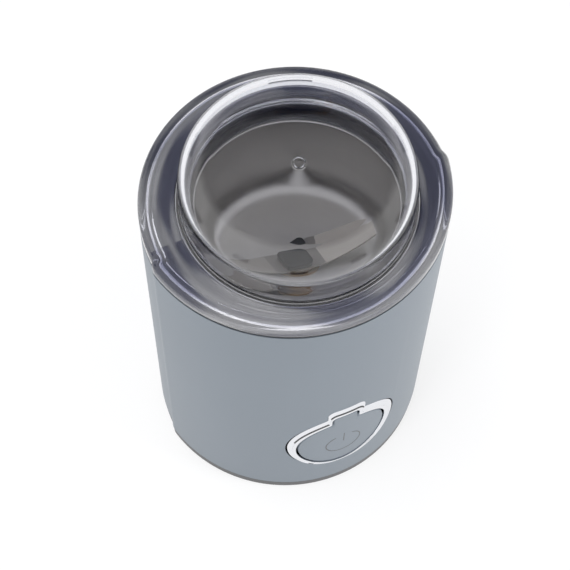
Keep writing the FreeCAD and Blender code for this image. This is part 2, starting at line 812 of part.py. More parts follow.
def make_bowl_fittings():
    gasket = new_body("bowl_gasket")
    inner = f"{bowl_outside} + well_gap"
    revolve(gasket, [(inner, ledge), ("bowl_radius + bowl_lip", ledge),
                     ("bowl_radius + bowl_lip", f"{ledge} + gasket_height"),
                     (inner, f"{ledge} + gasket_height")])
    bush = new_body("bowl_bush")
    revolve(bush, [("bush_bore", well_bottom), ("bush_radius", well_bottom), ("bush_radius", bowl_floor),
                   ("bush_flange", bowl_floor), ("bush_flange", bush_top), ("bush_bore", bush_top)])
    seal = new_body("shaft_seal")
    inner = "shaft_radius + shaft_gap"
    revolve(seal, [(inner, bush_top), ("seal_radius", bush_top),
                   ("seal_radius", f"{bush_top} + seal_height / 2"),
                   (f"{inner} + seal_lip", seal_top), (inner, seal_top)])


def make_blade():
    body = new_body("grinding_blade")
    side = new_sketch(body, "XZ_Plane")
    low = blade_bottom
    top = f"({blade_bottom} + blade_sheet)"
    draw_polygon(side, [("-blade_reach", f"{low} - blade_dip"), ("-blade_flat", low), ("blade_flat", low),
                        ("blade_reach", f"{low} + blade_rise"), ("blade_reach", f"{top} + blade_rise"),
                        ("blade_flat", top), ("-blade_flat", top), ("-blade_reach", f"{top} - blade_dip")])
    item = pad(body, side, "blade_width")
    item.Midplane = True
    trim = new_sketch(body, offset=f"{blade_bottom} - blade_dip * 2")
    half = "blade_width / 2"
    draw_polygon(trim, [("blade_flat * 0.8", half), ("blade_reach", f"{half} - blade_tip"),
                        ("blade_reach + cut_spare", f"{half} - blade_tip"),
                        ("blade_reach + cut_spare", f"{half} + cut_spare"),
                        ("blade_flat * 0.8", f"{half} + cut_spare")])
    ring_pattern(body, pocket(body, trim, "blade_dip * 2 + blade_rise + blade_sheet * 2", up=True), "2")
    bore = new_sketch(body, offset=blade_bottom)
    draw_circle(bore, "shaft_radius + press_gap")
    pocket(body, bore, None, up=True)


def make_blade_fittings():
    hub = new_body("blade_hub")
    inner = "shaft_radius + press_gap"
    bottom = f"({seal_top} + hub_gap)"
    revolve(hub, [(inner, bottom), ("hub_radius", bottom), ("hub_radius", blade_bottom),
                  (inner, blade_bottom)])
    nut = new_body("blade_nut")
    level = f"({blade_bottom} + blade_sheet)"
    outline = new_sketch(nut, offset=level)
    half = "nut_width / 2"
    draw_polygon(outline, [(f"-{half}", f"-{half}"), (half, f"-{half}"), (half, half),
                           (f"-{half}", half)])
    solid = pad(nut, outline, "nut_height")
    low = number(level)
    corners = round_edges(nut, solid, "nut_corner", lambda edge: edge.BoundBox.ZLength > 1)
    high = low + number("nut_height")
    round_edges(nut, corners, "nut_crown", lambda edge: level_at(edge, high))
    bore = new_sketch(nut, offset=level)
    draw_circle(bore, inner)
    pocket(nut, bore, "nut_height - shaft_end", up=True)


shaft_bottom = f"({fan_top} - fan_height - shaft_end)"


def make_shaft():
    length = f"{blade_bottom} + blade_sheet + nut_height - shaft_end * 1.5 - {shaft_bottom}"
    finish(cylinder("shaft_radius", length, z=shaft_bottom), "rotor_shaft")


def make_brackets():
    upper = new_body("upper_bracket")
    plate = new_sketch(upper, offset=bracket_bottom)
    draw_circle(plate, "mount_circle + mount_radius + boss_wall / 3")
    pad(upper, plate, "bracket_sheet")
    boss = new_sketch(upper, offset=f"{bracket_bottom} - bearing_drop")
    draw_circle(boss, "bearing_radius + boss_wall")
    pad(upper, boss, "bearing_length")
    sleeves = new_sketch(upper, offset=core_top)
    for x, y in motor_screws_at():
        draw_circle(sleeves, "spacer_radius", x, y)
    pad(upper, sleeves, f"{bracket_bottom} - {core_top}")
    bore = new_sketch(upper, offset=f"{bracket_bottom} - bearing_drop")
    draw_circle(bore, "bearing_radius + press_gap")
    pocket(upper, bore, None, up=True)
    holes = new_sketch(upper, offset=core_top)
    for x, y in motor_screws_at():
        draw_circle(holes, "motor_screw_radius + screw_gap", x, y)
    for x, y in mounts():
        draw_circle(holes, "mount_screw_radius + screw_gap", x, y)
    pocket(upper, holes, None, up=True)
    lower = new_body("lower_bracket")
    plate = new_sketch(lower, offset=lower_bottom)
    x = "core_length / 2 - bracket_sheet / 2"
    y = "core_depth / 2 - bracket_sheet / 2"
    draw_polygon(plate, [(f"-({x})", f"-({y})"), (x, f"-({y})"), (x, y), (f"-({x})", y)])
    solid = pad(lower, plate, "bracket_sheet")
    round_edges(lower, solid, "core_corner", lambda edge: edge.BoundBox.ZLength > 1)
    window = new_sketch(lower, offset=lower_bottom)
    for side in (-1, 1):
        near = f"{side} * (bearing_radius + boss_wall + cut_spare)"
        far = f"{side} * (core_depth / 2 - bracket_sheet * 2)"
        reach = "motor_screw_side - spacer_radius - bracket_sheet"
        corners = [(f"-({reach})", near), (reach, near), (reach, far), (f"-({reach})", far)]
        draw_polygon(window, corners if side > 0 else corners[::-1])
    pocket(lower, window, None, up=True)
    boss = new_sketch(lower, offset=f"{lower_bottom} - bearing_drop")
    draw_circle(boss, "bearing_radius + boss_wall")
    pad(lower, boss, "bearing_length")
    sleeves = new_sketch(lower, offset=lower_top)
    for x, y in motor_screws_at():
        draw_circle(sleeves, "spacer_radius", x, y)
    pad(lower, sleeves, f"{core_bottom} - {lower_top}")
    pillars = new_sketch(lower, offset=lower_top)
    half = "brush_width / 2"
    for side in (-1, 1):
        near = f"{side} * ({holder_from} + holder_wall * 2)"
        far = f"{side} * ({holder_from} + holder_length - holder_wall * 3)"
        corners = [(near, f"-{half}"), (far, f"-{half}"), (far, half), (near, half)]
        draw_polygon(pillars, corners if side > 0 else corners[::-1])
    pad(lower, pillars, f"{holder_bottom} - {lower_top}")
    bore = new_sketch(lower, offset=f"{lower_bottom} - bearing_drop")
    draw_circle(bore, "bearing_radius + press_gap")
    pocket(lower, bore, None, up=True)
    holes = new_sketch(lower, offset=lower_bottom)
    for x, y in motor_screws_at():
        draw_circle(holes, "motor_screw_radius + screw_gap", x, y)
    pocket(lower, holes, None, up=True)


holder_bottom = f"({brush_level} - brush_width / 2 - brush_gap / 3 - holder_wall)"


def make_bearings():
    for label, level in (("upper_bearing", bracket_bottom), ("lower_bearing", lower_bottom)):
        body = new_body(label)
        inner = "shaft_radius + shaft_gap"
        low = f"({level} - bearing_drop)"
        high = f"({level} - bearing_drop + bearing_length)"
        revolve(body, [(inner, low), ("bearing_radius", low), ("bearing_radius", high), (inner, high)])


def make_motor_mounts():
    pieces = []
    holes = []
    for x, y in mounts():
        pieces.append(cylinder("mount_radius", "mount_height", x, y, bracket_top))
        holes.append(cylinder("mount_screw_radius + screw_gap", "mount_height", x, y, bracket_top))
    finish(cut(fuse(pieces), holes), "motor_mounts")


def make_stator():
    body = new_body("stator_core")
    outline = new_sketch(body, offset=core_bottom)
    x = "core_length / 2"
    y = "core_depth / 2"
    draw_polygon(outline, [(f"-{x}", f"-{y}"), (x, f"-{y}"), (x, y), (f"-{x}", y)])
    stack = pad(body, outline, "core_height")
    round_edges(body, stack, "core_corner", lambda edge: edge.BoundBox.ZLength > 1)
    inside = new_sketch(body, offset=core_bottom)
    draw_circle(inside, "armature_radius + air_gap")
    for x, y in motor_screws_at():
        draw_circle(inside, "motor_screw_radius + screw_gap", x, y)
    pocket(body, inside, None, up=True)
    slots = new_sketch(body, offset=core_bottom)
    near_x = "pole_width / 2"
    far_x = "(pole_width / 2 + coil_width + coil_gap * 2)"
    near_y = "(slot_from - coil_gap)"
    far_y = "(slot_from + coil_width + coil_gap)"
    for a in (-1, 1):
        for b in (-1, 1):
            corners = [(f"{a} * {near_x}", f"{b} * {near_y}"), (f"{a} * {far_x}", f"{b} * {near_y}"),
                       (f"{a} * {far_x}", f"{b} * {far_y}"), (f"{a} * {near_x}", f"{b} * {far_y}")]
            draw_polygon(slots, corners if a * b > 0 else corners[::-1])
    pocket(body, slots, None, up=True)


def make_coils():
    pieces = []
    for side in (-1, 1):
        y = f"{side} * (slot_from + coil_width / 2)"
        inner = "(pole_width + coil_gap * 2)"
        outer = block(f"{inner} + coil_width * 2", "coil_width", "core_height + coil_rise * 2", 0, y,
                      f"{core_bottom} - coil_rise")
        window = block(inner, "coil_width * 2", "core_height + coil_gap * 2", 0, y,
                       f"{core_bottom} - coil_gap")
        pieces.append(cut(outer, window))
    finish(fuse(pieces), "field_coils")


def make_armature():
    core = new_body("armature_core")
    outline = new_sketch(core, offset=core_bottom)
    draw_circle(outline, "armature_radius")
    draw_circle(outline, "shaft_radius + press_gap")
    pad(core, outline, "core_height")
    slot = new_sketch(core, offset=core_bottom)
    half = "slot_width / 2"
    near = "(armature_radius - slot_depth)"
    far = "(armature_radius + cut_spare)"
    draw_polygon(slot, [(near, f"-{half}"), (far, f"-{half}"), (far, half), (near, half)])
    ring_pattern(core, pocket(core, slot, "core_height", up=True), "armature_slots")
    rings = []
    for level in (core_top, f"{core_bottom} - turns_height"):
        ring = cylinder("turns_radius", "turns_height", z=level)
        rings.append(cut(ring, cylinder("shaft_radius * 1.5", "turns_height", z=level)))
    finish(fuse(rings), "armature_windings")
    copper = new_body("commutator")
    outline = new_sketch(copper, offset=commutator_bottom)
    draw_circle(outline, "commutator_radius")
    draw_circle(outline, "shaft_radius + press_gap")
    pad(copper, outline, "commutator_height")
    groove = new_sketch(copper, offset=commutator_bottom)
    half = "bar_gap / 2"
    near = "(commutator_radius - bar_depth)"
    far = "(commutator_radius + cut_spare)"
    draw_polygon(groove, [(near, f"-{half}"), (far, f"-{half}"), (far, half), (near, half)])
    ring_pattern(copper, pocket(copper, groove, "commutator_height", up=True), "bars")


def make_fan():
    body = new_body("cooling_fan")
    bottom = f"({fan_top} - fan_height)"
    hub = new_sketch(body, offset=bottom)
    draw_circle(hub, "fan_hub")
    pad(body, hub, "fan_height")
    disc = new_sketch(body, offset=f"{fan_top} - fan_disc")
    draw_circle(disc, "fan_radius")
    pad(body, disc, "fan_disc")
    bore = new_sketch(body, offset=bottom)
    draw_circle(bore, "shaft_radius + press_gap")
    pocket(body, bore, None, up=True)
    blade = new_sketch(body, offset=bottom)
    near = "fan_hub - fan_sheet / 2"
    far = "fan_radius - fan_sheet / 2"
    half = "fan_sheet / 2"
    draw_polygon(blade, [(near, f"-{half}"), (far, f"-{half}"), (far, half), (near, half)])
    ring_pattern(body, pad(body, blade, "fan_height - fan_disc / 2"), "fan_blades")


holder_from = "(commutator_radius + brush_gap * 6)"


def make_brushes():
    holders = []
    brushes = []
    springs = []
    size = "(brush_width + brush_gap * 2 / 3)"
    brush_from = "(commutator_radius + brush_gap)"
    wall_at = f"{holder_from} + holder_length - holder_wall"
    room = number(f"{wall_at} - {brush_from} - brush_length - 2 * press_gap")
    for side in (-1, 1):
        x = f"{side} * ({holder_from} + holder_length / 2)"
        across = f"{size} + holder_wall * 2"
        outer = block("holder_length", across, across, x, 0, holder_bottom)
        channel = block("holder_length", size, size, f"{x} - {side} * holder_wall", 0,
                        f"{holder_bottom} + holder_wall")
        holders.append(cut(outer, channel))
        x = f"{side} * ({brush_from} + brush_length / 2)"
        brushes.append(block("brush_length", "brush_width", "brush_width", x, 0,
                             f"{brush_level} - brush_width / 2"))
        spring = coil("brush_spring_radius", "brush_wire", room, "brush_turns")
        turn = Rotation(Vector(0, 0, 1), Vector(side, 0, 0))
        start = side * number(f"{brush_from} + brush_length + press_gap")
        spring.Placement = Placement(Vector(start, 0, number(brush_level)), turn)
        springs.append(spring)
    finish(fuse(holders), "brush_holders")
    finish(fuse(brushes), "carbon_brushes")
    keep_shapes(springs, "brush_springs")


def keep_shapes(shapes, label):
    item = doc.addObject("Part::Feature", label)
    item.Shape = Part.makeCompound(shapes)
    return finish(item, label)


def arc_between(start, end, control):
    """The circular arc from start to end whose end tangents meet at control."""
    middle = (start + end) * 0.5
    rise = control - middle
    half = (end - start).Length / 2
    angle = math.atan2(rise.Length, half)
    return Part.Arc(start, middle + rise * (half * math.tan(angle / 2) / rise.Length), end).toShape()


def coil(radius, wire, length, turns):
    """A compression spring on +Z from 0 to its length: one tube swept on a helix of biarcs."""
    r, w, high, count = (number(item) for item in (radius, wire, length, turns))
    steps = int(round(count * 4))
    rise = (high - w) / (2 * math.pi * count)
    def point(angle):
        return Vector(r * math.cos(angle), r * math.sin(angle), w / 2 + rise * angle)
    def heading(angle):
        return Vector(-r * math.sin(angle), r * math.cos(angle), rise).normalize()
    arcs = []
    for k in range(steps):
        a, b = (2 * math.pi * count * (k + j) / steps for j in (0, 1))
        start, end, leaves, arrives = point(a), point(b), heading(a), heading(b)
        chord = end - start
        both = leaves + arrives
        bend = 1 - leaves.dot(arrives)
        root = math.sqrt(chord.dot(both) ** 2 + 2 * bend * chord.dot(chord))
        reach = (root - chord.dot(both)) / (2 * bend)
        first, second = start + leaves * reach, end - arrives * reach
        joint = (first + second) * 0.5
        arcs += [arc_between(start, joint, first), arc_between(joint, end, second)]
    path = Part.Wire(arcs)
    section = Part.Wire([Part.makeCircle(w / 2, point(0), heading(0))])
    return path.makePipeShell([section], True, False)


def prism(kind, grow):
    """The outline of the bezel or button run forward through the front wall."""
    sketch = doc.addObject("Sketcher::SketchObject", "Outline")
    sketch.Placement = Placement(Vector(0, 0, 0), forward)
    draw_tabbed(sketch, kind, grow)
    item = doc.addObject("Part::Extrusion", "Prism")
    item.Base = sketch
    item.DirMode = "Normal"
    item.Solid = True
    return bind(item, LengthFwd="front_radius * 1.2")


def front_layer(inner, outer):
    """A ring about the front arc's centre between two radii, as tall as the sleeve."""
    rings = [cylinder(radius, "shell_height", 0, "front_back", base_bottom) for radius in (outer, inner)]
    return cut(*rings)


flange_front = "(front_radius - shell_wall - press_gap * 2)"
flange_back = f"({flange_front} - bezel_flange)"
rim_front = f"({flange_back} - housing_gap)"
rim_back = f"({rim_front} - button_rim)"
button_face = "(front_radius - button_sink)"
button_back = f"({button_face} - button_sheet)"
plate_back = "(carrier_front - carrier_sheet)"
stem_end = f"({plate_back} - stem_proud)"
switch_front = f"({stem_end} - button_travel - switch_gap)"


def make_bezel():
    front = common([prism("bezel", "-press_gap"), front_layer(flange_back, "front_radius + bezel_proud")])
    flange = common([prism("bezel", "flange_reach"), front_layer(flange_back, flange_front)])
    finish(cut(fuse([front, flange]), prism("button", "button_gap")), "button_bezel")


def make_button():
    plate = common([prism("button", "0"), front_layer(rim_back, button_face)])
    rim = common([prism("button", "rim_reach"), front_layer(rim_back, rim_front)])
    hollow = common([prism("button", "-button_rim"), front_layer("rim_reach", button_back)])
    stem = cylinder("stem_radius", f"{button_back} - front_back + button_sheet / 2 - {stem_end}",
                    0, f"-{stem_end}", button_level, forward)
    finish(fuse([cut(fuse([plate, rim]), hollow), stem]), "push_button")


def make_carrier():
    body = new_body("button_carrier")
    plate = new_sketch(body, "XZ_Plane", plate_back)
    x = "(carrier_side + carrier_ear)"
    low = "bezel_height - carrier_rise"
    high = "bezel_height + carrier_rise"
    draw_polygon(plate, [(f"-{x}", low), (x, low), (x, high), (f"-{x}", high)])
    pad(body, plate, "carrier_sheet")
    shelf = new_sketch(body, "XZ_Plane", plate_back)
    x = "(switch_length / 2 + carrier_sheet / 2)"
    top = f"({button_level} - switch_height / 2)"
    draw_polygon(shelf, [(f"-{x}", f"{top} - carrier_sheet"), (x, f"{top} - carrier_sheet"),
                         (x, top), (f"-{x}", top)])
    pad(body, shelf, f"{plate_back} - {switch_front} + switch_depth", down=True)
    holes = new_sketch(body, "XZ_Plane", plate_back)
    draw_circle(holes, "stem_radius + pin_gap", "0", button_level)
    for side in ("-carrier_side", "carrier_side"):
        draw_circle(holes, "carrier_screw + screw_gap", side, "bezel_height")
    pocket(body, holes, "carrier_sheet", up=True)
    heads = []
    for side in ("-carrier_side", "carrier_side"):
        place = (side, f"-{plate_back}", "bezel_height")
        heads.append(cylinder("carrier_screw * 2", "carrier_screw", *place, rearward))
        heads.append(cylinder("carrier_screw", "carrier_sheet + carrier_thread", *place, forward))
    finish(fuse(heads), "carrier_screws")


def make_button_spring():
    back = number(f"sqrt({button_back} ^ 2 - (spring_radius + spring_wire) ^ 2) - front_back")
    front = number("carrier_front")
    room = back - front - 2 * number("press_gap")
    spring = coil("spring_radius", "spring_wire", room, "spring_turns")
    spring.Placement = Placement(Vector(0, -front - number("press_gap"), number(button_level)), forward)
    keep_shapes([spring], "button_spring")


def make_switches():
    y = f"-{switch_front} + switch_depth / 2"
    case = block("switch_length", "switch_depth", "switch_height", 0, y,
                 f"{button_level} - switch_height / 2")
    tags = [block("switch_height / 8", "switch_depth / 4", "switch_height / 2",
                  f"{x} * switch_length / 3", f"-{switch_front} + switch_depth * 1.1",
                  f"{button_level} - switch_height / 4") for x in (-1, 0, 1)]
    finish(fuse([case] + tags), "power_switch")
    x = "-(pin_side - pin_gap)"
    case = block("switch_height", "pin_switch_length", "switch_depth", x, 0, pin_switch_bottom)
    button = cylinder("pin_radius / 2", "housing_gap / 2", "-pin_side", 0, pin_switch_top)
    finish(fuse([case, button]), "interlock_switch")


def make_interlock():
    pin = cylinder("pin_radius", "pin_length", "-pin_side", 0, pin_bottom)
    collar = cylinder("pin_collar", "pin_collar_height", "-pin_side", 0, collar_bottom)
    finish(fuse([pin, collar]), "interlock_pin")
    room = number("pin_spring_room") - 2 * number("press_gap")
    spring = coil("pin_radius + spring_wire", "spring_wire", room, "pin_spring_turns")
    place = Vector(-number("pin_side"), 0, number(f"{shelf_top} + press_gap"))
    spring.Placement = Placement(place, Rotation())
    keep_shapes([spring], "interlock_spring")


def make_inlet():
    wall_out = "(rear_radius + rear_back)"
    wall_in = f"({wall_out} - shell_wall)"
    start = f"({wall_in} - gland_lip - gland_lip)"
    length = f"({wall_out} + gland_proud - {start})"
    tube = cylinder("gland_radius", length, 0, start, "gland_height", rearward)
    lips = cylinder("gland_radius + gland_lip", length, 0, start, "gland_height", rearward)
    outer = cylinder("rear_radius + press_gap", "gland_height * 2", 0, "rear_back", "0")
    inside = "rear_radius - shell_wall - press_gap"
    inner = cylinder(inside, "gland_height * 2", 0, "rear_back", "0")
    body = fuse([tube, cut(lips, cut(outer, inner))])
    bore = cylinder("gland_bore", f"{length} + cut_spare * 2", 0, f"{start} - cut_spare",
                    "gland_height", rearward)
    finish(cut(body, bore), "cord_gland")
    middle = "clamp_from + clamp_depth / 2"
    bar = block("clamp_length", "clamp_depth", "gland_bore + clamp_sheet", 0, middle, "gland_height")
    groove = cylinder("gland_bore", "clamp_depth + cut_spare * 2", 0, "clamp_from - cut_spare",
                      "gland_height", rearward)
    holes = [cylinder("base_screw_radius + screw_gap", "gland_bore + clamp_sheet",
                      f"{side} * clamp_screw_side", middle, "gland_height") for side in (-1, 1)]
    finish(cut(bar, [groove] + holes), "cord_clamp")
    make_screws("clamp_screws", [(f"{side} * clamp_screw_side", middle) for side in (-1, 1)],
                "base_head_radius", "base_head_height", "base_screw_radius",
                "gland_bore + clamp_sheet + clamp_thread",
                "(gland_height + gland_bore + clamp_sheet)", up=False)


def make_terminals():
    y = "block_from + block_depth / 2"
    base = block("block_length", "block_depth", "block_height", 0, y, floor_top)
    wells = [cylinder("block_depth / 4", "block_height / 2", f"{k} * block_length / 4", y,
                      f"{floor_top} + block_height / 2") for k in (-1, 0, 1)]
    finish(cut(base, wells), "terminal_block")
    case = block("capacitor_depth", "capacitor_length", "capacitor_height", "-capacitor_side", 0,
                 floor_top)
    leads = [cylinder("capacitor_lead", "capacitor_height / 3", "-capacitor_side",
                      f"{side} * capacitor_length / 4", f"{floor_top} + capacitor_height")
             for side in (-1, 1)]
    finish(fuse([case] + leads), "noise_capacitor")


def make_lid():
    body = new_body("lid")
    flange_top = f"({lid_bottom} + lid_skirt)"
    flange_under = f"({flange_top} - lid_flange)"
    dome_top = f"({lid_bottom} + lid_rise)"
    tube_bottom = f"({bowl_rim} + tube_gap)"
    skirt = new_sketch(body, offset=lid_bottom)
    draw_oval(skirt, "0")
    solid = pad(body, skirt, "lid_skirt")
    top = number(flange_top)
    round_edges(body, solid, "lid_shoulder", lambda edge: level_at(edge, top))
    dome = new_sketch(body, offset=flange_under)
    draw_circle(dome, "dome_radius")
    raised = pad(body, dome, f"{dome_top} - {flange_under}")
    reach = number("dome_radius")
    round_edges(body, raised, "dome_foot",
                lambda edge: level_at(edge, top) and not beyond(edge, reach + 0.1))
    under = new_sketch(body, offset=lid_bottom)
    draw_oval(under, "lid_wall")
    pocket(body, under, "lid_skirt - lid_flange", up=True)
    tube = new_sketch(body, offset=tube_bottom)
    draw_circle(tube, "dome_radius")
    pad(body, tube, f"{flange_top} - lid_flange / 2 - {tube_bottom}")
    inside = new_sketch(body, offset=tube_bottom)
    draw_circle(inside, "dome_radius - dome_wall")
    ceiling = f"({dome_top} - lid_top)"
    hollow = pocket(body, inside, f"{ceiling} - {tube_bottom}", up=True)
    roof = number(ceiling)
    vaulted = round_edges(body, hollow, "dome_round - dome_wall", lambda edge: level_at(edge, roof))
    crown = number(dome_top)
    round_edges(body, vaulted, "dome_round", lambda edge: level_at(edge, crown))
    tab_bottom = f"({pin_top} + tab_gap)"
    tab = new_sketch(body, offset=tab_bottom)
    x = "tab_depth / 2"
    y = "tab_width / 2"
    draw_polygon(tab, [(f"-pin_side - {x}", f"-{y}"), (f"-pin_side + {x}", f"-{y}"),
                       (f"-pin_side + {x}", y), (f"-pin_side - {x}", y)])
    pad(body, tab, f"{flange_top} - lid_flange / 2 - {tab_bottom}")


make_shell()
make_base()
make_feet()
make_screws("base_screws", posts(), "base_head_radius", "base_head_height", "base_screw_radius",
            "base_screw_length", f"({base_bottom} + base_head_height + housing_gap)")
make_deck()
make_bowl()
make_bowl_fittings()
make_blade()
make_blade_fittings()
make_shaft()
make_brackets()
make_bearings()
make_motor_mounts()
make_screws("mount_screws", mounts(), "mount_head_radius", "mount_head_height", "mount_screw_radius",
            "bracket_sheet + mount_height + well_floor", bracket_bottom)
make_stator()
make_coils()
make_armature()
make_fan()
make_brushes()
make_screws("motor_screws", motor_screws_at(), "motor_head_radius", "motor_head_height", "motor_screw_radius",
            f"{bracket_top} - {lower_bottom}", lower_bottom)
make_bezel()
make_button()
make_carrier()
make_button_spring()
make_switches()
make_interlock()
make_inlet()
make_terminals()
make_lid()

doc.recompute()
for item in doc.Objects:
    if "Invalid" in item.State or "Error" in item.State:
        raise RuntimeError(f"{item.Name} in the document failed: {item.getStatusString()}")
for node in nodes:
    if node.Shape.isNull() or not node.Shape.isValid():
        raise RuntimeError(f"{node.Label} has no valid shape")
os.makedirs("parts", exist_ok=True)
for node in nodes:
    node.Shape.exportStep(os.path.join("parts", f"{node.Label}.step"))
    box = node.Shape.BoundBox
    print(f"{node.Label:20} {len(node.Shape.Solids)} solids, {node.Shape.Volume:9.1f} mm3, "
          f"z {box.ZMin:6.2f} to {box.ZMax:6.2f}")
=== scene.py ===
import bpy
import json
import math
from mathutils import Matrix, Vector

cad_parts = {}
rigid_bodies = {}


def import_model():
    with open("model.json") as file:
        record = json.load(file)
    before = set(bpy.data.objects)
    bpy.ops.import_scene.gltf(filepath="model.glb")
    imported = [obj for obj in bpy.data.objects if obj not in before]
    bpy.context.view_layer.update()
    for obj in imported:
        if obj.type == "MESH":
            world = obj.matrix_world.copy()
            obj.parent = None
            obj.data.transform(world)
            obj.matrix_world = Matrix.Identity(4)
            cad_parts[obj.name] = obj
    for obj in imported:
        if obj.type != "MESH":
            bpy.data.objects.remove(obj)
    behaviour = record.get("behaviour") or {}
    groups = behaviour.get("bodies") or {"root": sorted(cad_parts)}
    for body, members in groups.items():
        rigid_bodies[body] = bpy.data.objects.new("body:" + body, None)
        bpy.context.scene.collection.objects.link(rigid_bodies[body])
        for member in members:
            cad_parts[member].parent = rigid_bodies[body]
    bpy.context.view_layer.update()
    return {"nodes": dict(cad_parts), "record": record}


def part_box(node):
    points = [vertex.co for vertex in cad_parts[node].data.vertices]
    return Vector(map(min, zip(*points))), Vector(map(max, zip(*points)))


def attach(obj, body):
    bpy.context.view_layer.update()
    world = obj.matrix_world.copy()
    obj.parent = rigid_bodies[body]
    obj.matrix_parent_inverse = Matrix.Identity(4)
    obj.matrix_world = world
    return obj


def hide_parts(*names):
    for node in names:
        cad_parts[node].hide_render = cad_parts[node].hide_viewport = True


# Electric spice grinder: the imported solids carry the finishes below, and the clear lid, the steel
# bowl, the button, its chrome frame with black strips of painted reflection, and a black ring of painted
# shade in the gap under the sleeve are modelled here. Lengths in the dictionaries are in millimetres,
# apart from the stage and the lamps; mm turns them into metres.

mm = 0.001

bpy.ops.object.select_all(action="SELECT")
bpy.ops.object.delete()
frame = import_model()
print("frame loaded:", len(frame["nodes"]), "nodes")

# The motor axis runs a little in front of the origin, and the lid stands on the deck
axisY = (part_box("rotor_shaft")[0].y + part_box("rotor_shaft")[1].y) / 2 / mm
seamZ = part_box("top_deck")[1].z / mm


def deselectAll():
    bpy.ops.object.select_all(action="DESELECT")


def activate(piece):
    deselectAll()
    piece.select_set(True)
    bpy.context.view_layer.objects.active = piece


def outward(piece):
    activate(piece)
    bpy.ops.object.mode_set(mode="EDIT")
    bpy.ops.mesh.select_all(action="SELECT")
    bpy.ops.mesh.remove_doubles(threshold=0.000002)
    bpy.ops.mesh.normals_make_consistent(inside=False)
    bpy.ops.object.mode_set(mode="OBJECT")


def smooth(piece, angle=30):
    activate(piece)
    bpy.ops.object.shade_smooth_by_angle(angle=math.radians(angle))


def finishPiece(piece, name, body, finish, stands=()):
    piece.name = name
    piece.data.name = name
    piece.data.materials.clear()
    piece.data.materials.append(finish)
    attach(piece, body)
    if stands:
        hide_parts(*stands)
    return piece


def skin(name, rings, closed=False):
    # A circle extruded ring by ring and laid along the given rings of points; the ends are filled,
    # or joined to each other when the section is a closed one
    count = len(rings[0])
    deselectAll()
    bpy.ops.mesh.primitive_circle_add(vertices=count, radius=0.05, fill_type="NOTHING")
    piece = bpy.context.object
    piece.name = name
    bpy.ops.object.mode_set(mode="EDIT")
    bpy.ops.mesh.select_all(action="SELECT")
    for k in range(len(rings) - 1):
        bpy.ops.mesh.extrude_edges_move()
    bpy.ops.object.mode_set(mode="OBJECT")
    for k, ring in enumerate(rings):
        for j, (x, y, z) in enumerate(ring):
            piece.data.vertices[k * count + j].co = (x * mm, y * mm, z * mm)
    first = list(range(count))
    last = list(range((len(rings) - 1) * count, len(rings) * count))
    for end in [first + last] if closed else [first, last]:
        bpy.ops.object.mode_set(mode="EDIT")
        bpy.ops.mesh.select_mode(type="VERT")
        bpy.ops.mesh.select_all(action="DESELECT")
        bpy.ops.object.mode_set(mode="OBJECT")
        for j in end:
            piece.data.vertices[j].select = True
        bpy.ops.object.mode_set(mode="EDIT")
        if closed:
            bpy.ops.mesh.bridge_edge_loops()
        else:
            bpy.ops.mesh.edge_face_add()
        bpy.ops.object.mode_set(mode="OBJECT")
    return piece


# The plan outline: two large arcs joined by an S step at each end
outline = {
    "frontRadius": 50.0, "frontBack": 6.0,
    "rearRadius": 48.3, "rearBack": 0.7,
    "cornerRadius": 5.0, "hollowRadius": 3.0,
    "stepFront": 5.25,
    "stepReach": 13.0,  # degrees to each side of the step that get finer rings
}


def outlineArcs(inset):
    # (centre, radius, first angle, last angle as seen from the axis) from front to rear, right half
    o = outline
    front, rear = o["frontRadius"] - inset, o["rearRadius"] - inset
    corner, hollow = max(o["cornerRadius"] - inset, 0.05), o["hollowRadius"] + inset
    low = math.asin((o["frontBack"] + o["stepFront"]) / o["frontRadius"])
    frontAt, rearAt = Vector((0, o["frontBack"])), Vector((0, o["rearBack"]))
    reach = front - corner
    cornerAt = Vector((reach * math.cos(low), o["frontBack"] - reach * math.sin(low)))
    across = cornerAt - rearAt
    cosine = (across.length ** 2 + (rear + hollow) ** 2 - (corner + hollow) ** 2)
    cosine = cosine / (2 * across.length * (rear + hollow))
    high = math.atan2(across.y, across.x) + math.acos(cosine)
    hollowAt = rearAt + Vector((math.cos(high), math.sin(high))) * (rear + hollow)
    toHollow = (hollowAt - cornerAt).normalized()
    joints = [frontAt + Vector((math.cos(low), -math.sin(low))) * front,
              cornerAt + toHollow * corner,
              rearAt + (hollowAt - rearAt).normalized() * rear]
    marks = [-math.pi / 2] + [math.atan2(p.y, p.x) for p in joints] + [math.pi / 2]
    shapes = [(frontAt, front, 1), (cornerAt, corner, 1), (hollowAt, hollow, -1), (rearAt, rear, 1)]
    return [(at, radius, side, marks[k], marks[k + 1]) for k, (at, radius, side) in enumerate(shapes)]


def outlineReach(angle, arcs):
    # Distance from the axis to the outline in a direction
    x, y = abs(math.cos(angle)), math.sin(angle)
    turn = math.atan2(y, x)
    for at, radius, side, first, last in arcs:
        if first - 1e-9 <= turn <= last + 1e-9:
            along = at.x * x + at.y * y
            inside = max(along ** 2 - at.length_squared + radius ** 2, 0)
            return along + side * math.sqrt(inside)
    return outline["rearRadius"]


def ringAngles(count=256, extra=3):
    # Even steps round the axis, with extra ones at the two S steps
    angles = []
    for k in range(count):
        start = 2 * math.pi * k / count
        near = min(abs(start - side) for side in (0, math.pi, 2 * math.pi))
        parts = extra if near < math.radians(outline["stepReach"]) else 1
        angles += [start + 2 * math.pi / count * j / parts for j in range(parts)]
    return angles


